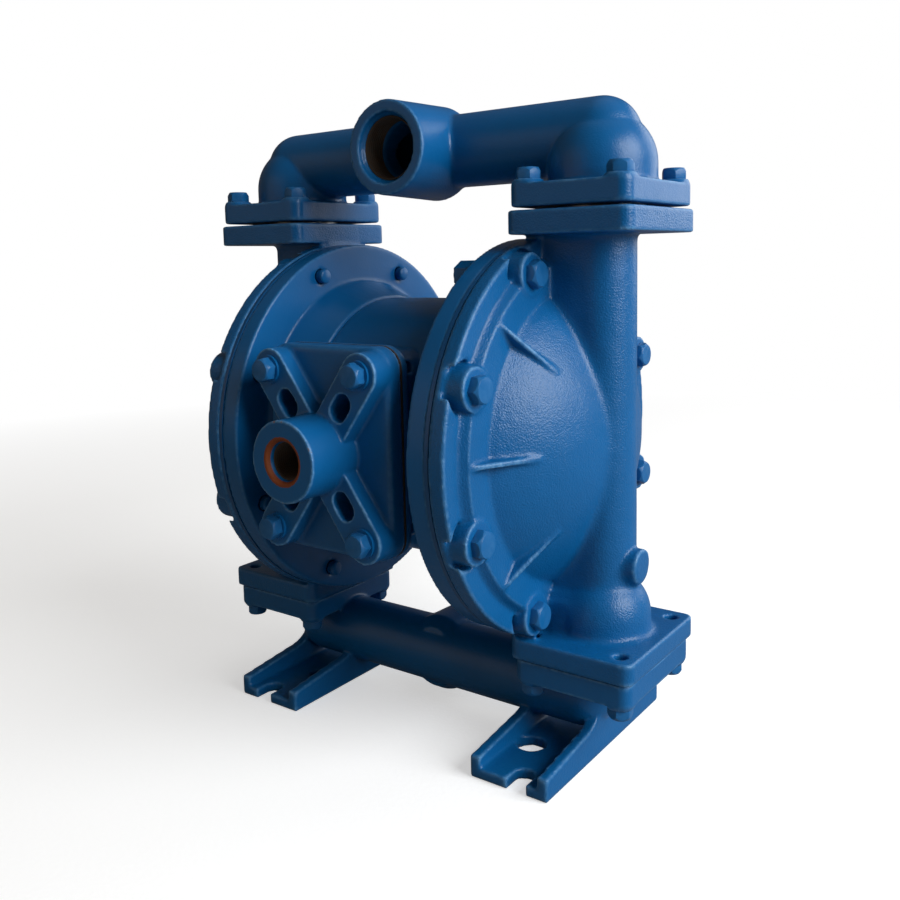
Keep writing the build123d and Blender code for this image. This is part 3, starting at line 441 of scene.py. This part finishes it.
def moulded(name, base, pale, grain_size):
    """Moulded rubber or plastic with a pale bloom and a fine grain."""
    shader = Shader(name)
    point, _ = shader.place()
    grain = shader.noise(point, size=grain_size, detail=3.0)
    bloom = shader.noise(point, size=0.015, detail=3.0)
    return shader.paint(
        Base_Color=shader.blend(bloom.clear(0.4, 0.8) * 0.6, base, pale),
        Roughness=0.55 + bloom * 0.2, Normal=shader.bump(grain, 0.0002),
    )


def diaphragm_rubber():
    return moulded("diaphragm_rubber", RUBBER_BLACK, (0.05, 0.05, 0.05, 1.0), 0.0012)


def seal_rubber():
    return moulded(
        "seal_rubber", (0.014, 0.013, 0.013, 1.0), (0.035, 0.033, 0.03, 1.0), 0.0008
    )


def bearing_plastic():
    return moulded("bearing_plastic", (0.62, 0.58, 0.50, 1.0), (0.70, 0.67, 0.60, 1.0), 0.0015)


def muffler_plastic():
    return moulded(
        "muffler_plastic", (0.022, 0.022, 0.024, 1.0), (0.045, 0.045, 0.047, 1.0), 0.0009
    )


def diaphragm_edge():
    """Black rubber with the enamel that ran over its clamped edge."""
    shader = Shader("diaphragm_edge")
    point, (x, y, z) = shader.place()
    from_axis = radius_about(y, z - settings("layout").rod_height)
    painted = from_axis.clear(PAINTED_FROM, PAINTED_TO)
    drips = shader.noise(point, size=0.004, detail=3.0)
    return shader.paint(
        Base_Color=shader.blend(painted, RUBBER_BLACK, tuple(settings("paint").enamel_deep_and_shade)),
        Roughness=0.5 - painted * 0.15, Normal=shader.bump(drips, 0.0002),
    )


def gasket_sheet():
    """Dark fibre sheet, frayed along its edge."""
    shader = Shader("gasket_sheet")
    point, _ = shader.place()
    fibre = shader.noise(point, size=0.0011, detail=5.0, roughness=0.7)
    stain = shader.noise(point, size=0.009, detail=3.0)
    shade = shader.blend(
        fibre.clear(0.3, 0.7), (0.040, 0.024, 0.016, 1.0), (0.075, 0.046, 0.029, 1.0)
    )
    shade = shader.blend(stain.clear(0.5, 0.8) * 0.7, shade, (0.018, 0.014, 0.012, 1.0))
    return shader.paint(
        Base_Color=shade, Roughness=0.72 + fibre * 0.15, Normal=shader.bump(fibre, 0.0003)
    )


MAKERS = {
    maker.__name__: maker
    for maker in (
        cast_enamel, pipe_enamel, smooth_enamel, inlet_enamel, bolt_enamel, cut_iron,
        turned_steel, diaphragm_rubber, diaphragm_edge, seal_rubber, gasket_sheet,
        bearing_plastic, muffler_plastic,
    )
}

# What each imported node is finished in, by a part of its name
NODE_FINISH = {
    "diaphragm_rod": "turned_steel",
    "inner_plate": "turned_steel",
    "outer_plate": "turned_steel",
    "actuator_plunger": "turned_steel",
    "pilot_spool": "turned_steel",
    "pilot_valve_sleeve": "turned_steel",
    "main_spool": "turned_steel",
    "main_valve_sleeve": "turned_steel",
    "inner_chamber_screws": "turned_steel",
    "valve_body_screws": "turned_steel",
    "valve_end_cap_screws": "turned_steel",
    "diaphragm_left": "diaphragm_edge",
    "diaphragm_right": "diaphragm_edge",
    "suction_ball": "diaphragm_rubber",
    "discharge_ball": "diaphragm_rubber",
    "suction_seat": "turned_steel",
    "discharge_seat": "turned_steel",
    "seals": "seal_rubber",
    "bumpers": "seal_rubber",
    "gasket": "gasket_sheet",
    "bushings": "bearing_plastic",
    "exhaust_muffler": "muffler_plastic",
}


def node_finish(node):
    """The finish whose longest key is in the node's name; the rest is in blue enamel."""
    found = [key for key in NODE_FINISH if key in node]
    return NODE_FINISH[max(found, key=len)] if found else "smooth_enamel"


# Modelling helpers


def select_only(piece):
    """Leaves one object selected and active, in object mode."""
    if bpy.context.object and bpy.context.object.mode != "OBJECT":
        bpy.ops.object.mode_set(mode="OBJECT")
    bpy.ops.object.select_all(action="DESELECT")
    piece.select_set(True)
    bpy.context.view_layer.objects.active = piece


def primitive(kind, name, **values):
    """A new primitive with its place in its mesh, to be shaped further."""
    bpy.ops.object.select_all(action="DESELECT")
    getattr(bpy.ops.mesh, f"primitive_{kind}_add")(**values)
    piece = bpy.context.object
    piece.name = piece.data.name = name
    select_only(piece)
    bpy.ops.object.transform_apply(location=True, rotation=True, scale=True)
    return piece


def add_modifier(piece, kind, **values):
    """Adds a modifier and applies it."""
    select_only(piece)
    made = piece.modifiers.new(kind.lower(), kind)
    for key, value in values.items():
        setattr(made, key, value)
    bpy.ops.object.modifier_apply(modifier=made.name)


def shape_by(piece, cutter, operation):
    """Shapes a piece by another solid, which is used up."""
    add_modifier(piece, "BOOLEAN", operation=operation, solver="EXACT", object=cutter)
    bpy.data.objects.remove(cutter)


def edit_faces(piece, test):
    """Opens a piece for editing with the faces selected whose centre and normal pass the test."""
    select_only(piece)
    bpy.ops.object.mode_set(mode="EDIT")
    bpy.ops.mesh.select_mode(type="FACE")
    bpy.ops.mesh.select_all(action="DESELECT")
    bpy.ops.object.mode_set(mode="OBJECT")
    for polygon in piece.data.polygons:
        polygon.select = test(polygon.center, polygon.normal)
    bpy.ops.object.mode_set(mode="EDIT")


def facing_down(centre, normal):
    return normal.z < -0.9


def join_up(parts):
    """Joins pieces into the first of them."""
    select_only(parts[0])
    for part in parts[1:]:
        part.select_set(True)
    bpy.ops.object.join()
    return parts[0]


def copy_at(piece, name, matrix):
    """A copy with its own mesh, moved by a matrix."""
    made = bpy.data.objects.new(name, piece.data.copy())
    bpy.context.scene.collection.objects.link(made)
    made.data.transform(matrix)
    return made


def coat(piece, finish, body):
    """Gives a piece its finish and its body."""
    piece.data.materials.clear()
    piece.data.materials.append(finish_of(finish))
    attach(piece, body)


def stand_for(piece, node, finish):
    """Puts a finished piece in a node's place, on the node's body."""
    coat(piece, finish, frame["nodes"][node]["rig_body"])
    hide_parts(node)


# Castings


def merged_copy(node, name):
    """A copy of a node's mesh with its loose triangles joined up."""
    piece = bpy.data.objects.new(name, frame["nodes"][node].data.copy())
    bpy.context.scene.collection.objects.link(piece)
    select_only(piece)
    if piece.data.has_custom_normals:
        bpy.ops.mesh.customdata_custom_splitnormals_clear()
    bpy.ops.object.mode_set(mode="EDIT")
    bpy.ops.mesh.select_all(action="SELECT")
    bpy.ops.mesh.remove_doubles(threshold=1e-6)
    bpy.ops.object.mode_set(mode="OBJECT")
    return piece


def vectors_of(vertices, field):
    """A vector of each vertex, as rows of an array."""
    rows = np.empty(len(vertices) * 3, np.float32)
    vertices.foreach_get(field, rows)
    return rows.reshape(-1, 3)


def neighbour_mean(values, first, second, count):
    """The mean over the vertices that each vertex shares an edge with."""
    total = np.zeros(len(values))
    np.add.at(total, first, values[second])
    np.add.at(total, second, values[first])
    return total / np.maximum(count, 1)


def mark_edges(piece, reach):
    """Writes how sharply the surface bends at each vertex: edge outwards, corner inwards."""
    mesh = piece.data
    co = vectors_of(mesh.vertices, "co").astype(np.float64)
    normals = vectors_of(mesh.vertices, "normal")
    pairs = np.empty(len(mesh.edges) * 2, np.int32)
    mesh.edges.foreach_get("vertices", pairs)
    first, second = pairs.reshape(-1, 2).T
    run = co[second] - co[first]
    turn = ((normals[second] - normals[first]) * run).sum(1)
    turn = turn / np.maximum((run * run).sum(1), 1e-12)
    total = np.zeros(len(co))
    count = np.zeros(len(co))
    for ends in (first, second):
        np.add.at(total, ends, turn)
        np.add.at(count, ends, 1)
    bend = total / np.maximum(count, 1)
    for _ in range(2):
        bend = 0.5 * bend + 0.5 * neighbour_mean(bend, first, second, count)
    for name, values in (("edge", bend * reach), ("corner", -bend * reach)):
        attribute = mesh.attributes.new(name, "FLOAT", "POINT")
        attribute.data.foreach_set("value", np.clip(values, 0, 1).astype(np.float32))


def soften(piece, passes, weights=None):
    """Smooths a mesh; weights from 0 to 1 hold back parts of it."""
    if weights is None:
        add_modifier(piece, "SMOOTH", factor=0.5, iterations=passes)
        return
    held = piece.vertex_groups.new(name="soft")
    for level in range(1, 11):
        chosen = np.nonzero(np.round(weights * 10) == level)[0].tolist()
        if chosen:
            held.add(chosen, level / 10, "REPLACE")
    add_modifier(piece, "SMOOTH", factor=0.5, iterations=passes, vertex_group=held.name)
    piece.vertex_groups.remove(piece.vertex_groups["soft"])


def cast_skin(node, finish, grain, blend_at=None, added=()):
    """Replaces a casting by its own form with cast edges: rounded outside, filled inside."""
    casting = settings("casting")
    piece = join_up([merged_copy(node, f"{node}_skin"), *added])
    add_modifier(piece, "REMESH", mode="VOXEL", voxel_size=grain, use_smooth_shade=True)
    soften(piece, casting.rounding)
    if blend_at:
        soften(piece, casting.blending, blend_at(vectors_of(piece.data.vertices, "co")))
    triangles = sum(len(polygon.vertices) - 2 for polygon in piece.data.polygons)
    if triangles > casting.most_triangles:
        add_modifier(piece, "DECIMATE", ratio=casting.most_triangles / triangles)
    mark_edges(piece, casting.edge_reach)
    select_only(piece)
    bpy.ops.object.shade_smooth()
    stand_for(piece, node, finish)


# Half width, lowest and highest point of each web block: beside the cage, over it, on the
# lower riser, and under the top flange. Their ends lie inside the rim and inside the riser.
WEB_BLOCKS = (
    (0.0330, 0.0940, 0.1220),
    (0.0297, 0.1180, 0.1280),
    (0.0248, 0.1180, 0.1850),
    (0.0248, 0.3000, 0.3960),
)
WEB_START = 0.112
WEB_SHOULDER = 0.128

# Radii that the webs keep clear of: the dome's hollow, the cage's, the outlet and the riser's bore
DOME_CLEAR, CAGE_CLEAR, OUTLET_CLEAR, BORE_CLEAR = 0.1515, 0.0310, 0.0155, 0.0190
BORE_OFFSET = 0.148
BORE_ENDS = (0.280, 0.420)
MOUTH_DEPTH = 0.030
OUTLET_LENGTH = 0.080


def block(name, low, high):
    """A closed box between two corners."""
    middle = [(start + end) / 2 for start, end in zip(low, high)]
    extent = [abs(end - start) for start, end in zip(low, high)]
    return primitive("cube", name, size=1, location=middle, scale=extent)


def ball(at, radius):
    return primitive(
        "uv_sphere", "cutter", segments=96, ring_count=48, radius=radius, location=at
    )


def bar(start, end, radius):
    """A round bar between two points."""
    start, end = Vector(start), Vector(end)
    piece = primitive("cylinder", "cutter", vertices=64, radius=radius, depth=(end - start).length)
    turn = (end - start).to_track_quat("Z", "Y").to_matrix().to_4x4()
    piece.data.transform(Matrix.Translation((start + end) / 2) @ turn)
    return piece


def chamber_webs(side):
    """The webs that join a chamber's riser and cage to its rim and dome, clear of its hollows."""
    chamber, layout = settings("chamber"), settings("layout")
    dome = Vector((side * chamber.dome_centre, 0, layout.rod_height))
    cage = Vector((side * layout.port_offset, 0, chamber.cage_height))
    lean = Vector((-side * math.sin(chamber.outlet_tilt), 0, math.cos(chamber.outlet_tilt)))
    webs = []
    for number, (half, low, high) in enumerate(WEB_BLOCKS):
        web = block(
            f"web_{number}", (side * WEB_START, -half, low), (side * layout.port_offset, half, high)
        )
        for cutter in (
            ball(dome, DOME_CLEAR),
            ball(cage, CAGE_CLEAR),
            bar(cage, cage - Vector((0, 0, MOUTH_DEPTH)), CAGE_CLEAR),
            bar(cage, cage + lean * OUTLET_LENGTH, OUTLET_CLEAR),
            bar(*((side * BORE_OFFSET, 0, height) for height in BORE_ENDS), BORE_CLEAR),
        ):
            shape_by(web, cutter, "DIFFERENCE")
        webs.append(web)
    return webs


def near(distance, full, none):
    """1 within the full distance of a surface, 0 beyond none."""
    return np.clip((none - np.abs(distance)) / (none - full), 0, 1)


def chamber_blend(side):
    """Where an outer chamber's riser, cage and webs run into its dome and flanges."""
    chamber, layout = settings("chamber"), settings("layout")

    def weights(co):
        x, y, z = side * co[:, 0], co[:, 1], co[:, 2]
        from_pipe = np.hypot(x - layout.port_offset, y)
        from_dome = np.hypot(np.hypot(x - chamber.dome_centre, y), z - layout.rod_height)
        riser = from_pipe - chamber.riser_radius
        cage_side = from_pipe - chamber.cage_radius
        cage = np.hypot(from_pipe, z - chamber.cage_height) - chamber.cage_radius
        dome = from_dome - chamber.dome_radius
        foot = near(riser, 0.004, 0.012) * near(dome, 0.006, 0.014)
        bowl = near(cage, 0.004, 0.012) * near(dome, 0.006, 0.016)
        neck = near(riser, 0.004, 0.012) * near(z - chamber.top_seat, 0.003, 0.010)
        neck_low = near(cage_side, 0.003, 0.009) * near(z - chamber.foot_seat, 0.002, 0.007)
        waist = near(riser, 0.006, 0.014) * near(z - chamber.waist, 0.006, 0.016)
        shoulder = near(z - WEB_SHOULDER, 0.010, 0.020) * (np.abs(y) > 0.015)
        shoulder = shoulder * (x < layout.port_offset)
        blended = np.maximum.reduce([foot, bowl, neck * 0.8, neck_low, waist, shoulder])
        return blended * (x > chamber.rim_end)

    return weights


class PUMP_OT_cast_skins(bpy.types.Operator):
    """Gives each casting its cast edges and pebbled enamel"""

    bl_idname = "pump.cast_skins"
    bl_label = "Cast skins"

    def execute(self, context):
        casting = settings("casting")
        for name, side in LEFT_RIGHT.items():
            cast_skin(
                f"outer_chamber_{name}", "cast_enamel", casting.grain,
                chamber_blend(side), chamber_webs(side),
            )
        cast_skin("discharge_manifold", "pipe_enamel", casting.grain)
        cast_skin("suction_manifold", "pipe_enamel", casting.grain)
        cast_skin("intermediate_body", "smooth_enamel", casting.grain)
        cast_skin("air_inlet_cap", "inlet_enamel", casting.fine_grain)
        return {"FINISHED"}


class PUMP_OT_turned_castings(bpy.types.Operator):
    """Rounds the machined castings' edges: inner chambers, valve body and its end caps"""

    bl_idname = "pump.turned_castings"
    bl_label = "Machined castings"

    def execute(self, context):
        for node in (
            "inner_chamber_left", "inner_chamber_right", "main_valve_body",
            "valve_end_cap_left", "valve_end_cap_right",
        ):
            cast_skin(node, "smooth_enamel", settings("casting").grain)
        return {"FINISHED"}


# Bolts


def hex_head(name, radius, height):
    """Hexagon head on Z = 0 with its corners turned off by a cone and a washer face below."""
    cone = primitive(
        "cone", f"{name}_cone", vertices=64, radius1=radius * 1.45, radius2=radius * 0.80,
        depth=height * 1.24, location=(0, 0, height * 0.38),
    )
    head = primitive(
        "cylinder", name, vertices=6, radius=radius, depth=height, location=(0, 0, height / 2)
    )
    shape_by(head, cone, "INTERSECT")
    edit_faces(head, facing_down)
    bpy.ops.mesh.inset(thickness=radius * 0.09, depth=0)
    bpy.ops.transform.translate(value=(0, 0, -height * 0.06))
    bpy.ops.object.mode_set(mode="OBJECT")
    add_modifier(
        head, "BEVEL", width=radius * 0.035, segments=2, limit_method="ANGLE", angle_limit=0.5
    )
    return head


def bolt_tail(name, radius, length, pitch):
    """Threaded end that runs down from Z = 0, with a turned point."""
    tail = primitive(
        "cylinder", name, vertices=28, radius=radius * 0.94, depth=length,
        location=(0, 0, -length / 2),
    )
    edit_faces(tail, facing_down)
    crest = 1.065
    for _ in range(max(2, int(length / pitch))):
        for grow in (crest, 1 / crest):
            bpy.ops.mesh.extrude_region_move(
                TRANSFORM_OT_translate={"value": (0, 0, -pitch * 0.35)}
            )
            bpy.ops.transform.resize(value=(grow, grow, 1))
    bpy.ops.mesh.inset(thickness=radius * 0.16, depth=0)
    bpy.ops.transform.translate(value=(0, 0, -radius * 0.10))
    bpy.ops.object.mode_set(mode="OBJECT")
    return tail


def bolt_set(node, places, radius, height, shank, tail=0.0):
    """Bolts at the places, in one piece.

    A place is a matrix whose Z points out of the seat, and how far below the seat a tail starts.
    """
    bolts = settings("bolts")
    head = hex_head(f"{node}_head", radius, height)
    stem = bolt_tail(f"{node}_stem", shank, max(tail * 0.5, 0.001), bolts.pitch)
    parts = []
    for number, (matrix, depth) in enumerate(places):
        turn = Matrix.Rotation(math.radians(37 * number + 11), 4, "Z")
        parts.append(copy_at(head, f"{node}_{number}", matrix @ turn))
        if tail:
            below = matrix @ Matrix.Translation((0, 0, -depth)) @ turn
            parts.append(copy_at(stem, f"{node}_tail_{number}", below))
    for template in (head, stem):
        bpy.data.objects.remove(template)
    piece = join_up(parts)
    piece.name = piece.data.name = f"{node}_detail"
    bpy.ops.object.shade_smooth_by_angle(angle=0.6)
    mark_edges(piece, bolts.edge_reach)
    stand_for(piece, node, "bolt_enamel")


def rim_bolts(name, side):
    """A rim's bolts, with their threaded ends behind the rim and the long earthing bolt."""
    bolts, layout = settings("bolts"), settings("layout")
    left_low, left_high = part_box("chamber_bolts_left")
    right_low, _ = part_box("chamber_bolts_right")
    seat = -left_low.x - bolts.rim_height
    common = seat + left_high.x - bolts.rim_tail
    longest = seat - right_low.x - bolts.rim_tail
    square = Matrix.Rotation(side * math.pi / 2, 4, "Y")
    places = []
    for number in range(bolts.rim_count):
        angle = 2 * math.pi * (number + 0.5) / bolts.rim_count
        along = bolts.rim_circle * math.cos(angle)
        up = layout.rod_height + bolts.rim_circle * math.sin(angle)
        earthed = side > 0 and number == bolts.earth_place
        place = Matrix.Translation((side * seat, along, up)) @ square
        places.append((place, longest if earthed else common))
    bolt_set(
        f"chamber_bolts_{name}", places, bolts.rim_head, bolts.rim_height, bolts.rim_shank,
        bolts.rim_tail,
    )


def flange_bolts(node, seat, square):
    """Four bolts in each of a manifold's two flanges."""
    bolts, layout = settings("bolts"), settings("layout")
    places = [
        (Matrix.Translation((port + across, along, seat)) @ square, 0.0)
        for port in (-layout.port_offset, layout.port_offset)
        for across in (-bolts.port_across, bolts.port_across)
        for along in (-bolts.port_along, bolts.port_along)
    ]
    bolt_set(node, places, bolts.head, bolts.height, bolts.shank)


def cap_bolts(node):
    """The inlet cap's four bolts."""
    bolts = settings("bolts")
    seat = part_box(node)[0].y + bolts.height
    middle = mounts["air_inlet"].z
    square = Matrix.Rotation(math.pi / 2, 4, "X")
    places = [
        (Matrix.Translation((across, seat, middle + up)) @ square, 0.0)
        for across in (-bolts.cap_across, bolts.cap_across)
        for up in (-bolts.cap_up, bolts.cap_up)
    ]
    bolt_set(node, places, bolts.head, bolts.height, bolts.shank)


class PUMP_OT_hex_bolts(bpy.types.Operator):
    """Places hexagon bolts in the rims, the port flanges and the inlet cap"""

    bl_idname = "pump.hex_bolts"
    bl_label = "Hexagon bolts"

    def execute(self, context):
        height = settings("bolts").height
        for name, side in LEFT_RIGHT.items():
            rim_bolts(name, side)
        top_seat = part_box("discharge_bolts")[1].z - height
        foot_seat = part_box("suction_bolts")[0].z + height
        flange_bolts("discharge_bolts", top_seat, Matrix.Identity(4))
        flange_bolts("suction_bolts", foot_seat, Matrix.Rotation(math.pi, 4, "X"))
        cap_bolts("inlet_cap_bolts")
        return {"FINISHED"}


# Threads


def pipe_thread(name, start, facing, radius, length, pitch, depth):
    """Internal thread whose first turn lies at start and whose mouth faces back or front."""
    thread = primitive("circle", name, vertices=72, radius=radius, fill_type="NOTHING")
    bpy.ops.object.mode_set(mode="EDIT")
    bpy.ops.mesh.select_all(action="SELECT")
    crest = (radius - depth) / radius
    slope, land = 0.42, 0.08
    for _ in range(int(length / pitch)):
        for grow, step in ((crest, slope), (1.0, land), (1 / crest, slope), (1.0, land)):
            bpy.ops.mesh.extrude_edges_move(
                TRANSFORM_OT_translate={"value": (0, 0, -pitch * step)}
            )
            if grow != 1.0:
                bpy.ops.transform.resize(value=(grow, grow, 1))
    bpy.ops.mesh.select_all(action="SELECT")
    bpy.ops.mesh.normals_make_consistent(inside=True)
    bpy.ops.object.mode_set(mode="OBJECT")
    thread.data.transform(Matrix.Translation(start) @ Matrix.Rotation(facing * math.pi / 2, 4, "X"))
    bpy.ops.object.shade_smooth_by_angle(angle=0.35)
    coat(thread, "cut_iron", HOUSING)


class PUMP_OT_pipe_threads(bpy.types.Operator):
    """Cuts the pipe threads of the discharge port, the suction port and the air inlet"""

    bl_idname = "pump.pipe_threads"
    bl_label = "Pipe threads"

    def execute(self, context):
        threads = settings("threads")
        front, back = 1, -1
        port_lead = Vector((0, threads.port_lead, 0))
        inlet_lead = Vector((0, threads.inlet_lead, 0))
        port = (threads.port_radius, threads.port_length, threads.port_pitch, threads.port_depth)
        discharge = mounts["discharge_port"] - port_lead
        suction = mounts["suction_port"] + port_lead
        pipe_thread("discharge_thread", discharge, front, *port)
        pipe_thread("suction_thread", suction, back, *port)
        pipe_thread(
            "inlet_thread", mounts["air_inlet"] - inlet_lead, front, threads.inlet_radius,
            threads.inlet_length, threads.inlet_pitch, threads.inlet_depth,
        )
        return {"FINISHED"}


class PUMP_OT_inner_finishes(bpy.types.Operator):
    """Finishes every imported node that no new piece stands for"""

    bl_idname = "pump.inner_finishes"
    bl_label = "Inner finishes"

    def execute(self, context):
        for name, node in frame["nodes"].items():
            if node.hide_render:
                continue
            node.data.materials.clear()
            node.data.materials.append(finish_of(node_finish(name)))
        return {"FINISHED"}


# Stage

DAYLIGHT = (0.95, 0.98, 1.0)
LAMPLIGHT = (1.0, 0.81, 0.60)
WARM_ROOM = (1.0, 0.86, 0.70, 1.0)
WHITE = (1.0, 1.0, 1.0, 1.0)
MIDDLE = Vector((0, 0, 0.25))

# The camera: its place, its turn, dip and roll in degrees, and its lens in pixels of the frame
CAMERA_PLACE = (0.4626, -0.62325, 0.37485)
CAMERA_TURN, CAMERA_DIP, CAMERA_ROLL = 35.951, 6.868, -1.213
FRAME_PX, FOCAL_PX, CENTRE_ROW_PX = 900, 939.205, 374.215
SENSOR_MM = 36.0


def area_lamp(name, at, extent, watts, tint):
    """A rectangular lamp that shines on the pump's middle."""
    data = bpy.data.lights.new(name, "AREA")
    data.shape = "RECTANGLE"
    data.size, data.size_y = extent
    data.energy = watts
    data.color = tint
    lamp = bpy.data.objects.new(name, data)
    bpy.context.scene.collection.objects.link(lamp)
    lamp.visible_camera = False
    lamp.location = at
    lamp.rotation_mode = "QUATERNION"
    lamp.rotation_quaternion = (MIDDLE - Vector(at)).to_track_quat("-Z", "Y")


def studio_world():
    """White behind the pump for the camera, a soft room for its paint."""
    shader = Shader("studio", "World")
    strength = settings("stage").room
    room = shader.node("Background", Color=WARM_ROOM, Strength=strength).outputs[0]
    white = shader.node("Background", Color=WHITE, Strength=1.0).outputs[0]
    seen = shader.read("LightPath", "Is Camera Ray")
    seen_through = shader.read("LightPath", "Is Transmission Ray")
    bpy.context.scene.world = shader.finish(shader.either(seen.most(seen_through), room, white))


def floor_finish():
    """Pale floor that keeps the pump's shadow and runs out to white."""
    shader = Shader("studio_floor")
    point, (x, y, z) = shader.place()
    paper = shader.noise(point, size=0.004, detail=3.0)
    seen = shader.read("LightPath", "Is Camera Ray")
    lit = shader.node(
        "BsdfPrincipled", Roughness=0.9, Specular_IOR_Level=0.0,
        Base_Color=shader.blend(seen, (0.30, 0.30, 0.30, 1.0), (0.82, 0.82, 0.82, 1.0)),
        Normal=shader.bump(paper, 0.0002),
    ).outputs[0]
    lifted = shader.node("AddShader", values=(lit, shader.glow(WHITE, 0.52))).outputs[0]
    close = shader.either(seen, lit, lifted)
    away = radius_about(x, y).clear(0.9, 1.9) * seen
    return shader.finish(shader.either(away, close, shader.glow(WHITE, 1.0)))


def studio_camera():
    """The camera, at eye height in front of the right chamber."""
    data = bpy.data.cameras.new("camera")
    data.sensor_width = SENSOR_MM
    data.lens = FOCAL_PX / FRAME_PX * SENSOR_MM
    data.shift_y = (CENTRE_ROW_PX - FRAME_PX / 2) / FRAME_PX
    data.clip_start, data.clip_end = 0.05, 100
    camera = bpy.data.objects.new("camera", data)
    bpy.context.scene.collection.objects.link(camera)
    camera.rotation_mode = "QUATERNION"
    turn = Matrix.Rotation(math.radians(CAMERA_TURN), 3, "Z")
    dip = Matrix.Rotation(math.radians(90 - CAMERA_DIP), 3, "X")
    roll = Matrix.Rotation(math.radians(CAMERA_ROLL), 3, "Z")
    camera.location = CAMERA_PLACE
    camera.rotation_quaternion = (turn @ dip @ roll).to_quaternion()
    bpy.context.scene.camera = camera


class PUMP_OT_stage(bpy.types.Operator):
    """Sets the floor, the lights and the camera"""

    bl_idname = "pump.stage"
    bl_label = "Stage"

    def execute(self, context):
        stage = settings("stage")
        context.scene.view_settings.view_transform = "Standard"
        floor = primitive("plane", "studio_floor", size=stage.floor_span, location=(0, 0, -0.0004))
        floor.data.materials.append(floor_finish())
        studio_world()
        area_lamp("window", (2.25, 0.00, 1.35), (1.9, 1.6), stage.window, DAYLIGHT)
        area_lamp("far_window", (0.95, 2.20, 1.10), (1.8, 1.6), stage.far_window, DAYLIGHT)
        area_lamp("overhead", (0.2, 0.5, 2.6), (2.0, 2.0), stage.overhead, DAYLIGHT)
        area_lamp("fill", (-1.60, -2.60, 1.0), (3.0, 2.0), stage.fill, LAMPLIGHT)
        studio_camera()
        return {"FINISHED"}


class PUMP_PT_panel(bpy.types.Panel):
    """Lists the pump's sizes and colours, and a button for each step, in the sidebar"""

    bl_idname = "PUMP_PT_panel"
    bl_label = "Diaphragm pump"
    bl_space_type = "VIEW_3D"
    bl_region_type = "UI"
    bl_category = "Pump"

    def draw(self, context):
        for name, group in SETTINGS.items():
            for key in group.__annotations__:
                self.layout.prop(settings(name), key)
        for step in STEPS:
            self.layout.operator(step.bl_idname)


STEPS = (
    PUMP_OT_cast_skins,
    PUMP_OT_turned_castings,
    PUMP_OT_hex_bolts,
    PUMP_OT_pipe_threads,
    PUMP_OT_inner_finishes,
    PUMP_OT_stage,
)
SETTINGS = {
    "layout": LayoutSettings,
    "chamber": ChamberSettings,
    "casting": CastingSettings,
    "bolts": BoltSettings,
    "threads": ThreadSettings,
    "paint": PaintSettings,
    "stage": StageSettings,
}


def register():
    for name, group in SETTINGS.items():
        bpy.utils.register_class(group)
        setattr(bpy.types.Scene, f"pump_{name}", PointerProperty(type=group))
    for step in STEPS:
        bpy.utils.register_class(step)
    bpy.utils.register_class(PUMP_PT_panel)


def unregister():
    bpy.utils.unregister_class(PUMP_PT_panel)
    for step in reversed(STEPS):
        bpy.utils.unregister_class(step)
    for name, group in reversed(SETTINGS.items()):
        delattr(bpy.types.Scene, f"pump_{name}")
        bpy.utils.unregister_class(group)


def main():
    register()
    for step in STEPS:
        area, name = step.bl_idname.split(".")
        getattr(getattr(bpy.ops, area), name)()


if __name__ == "__main__":
    main()
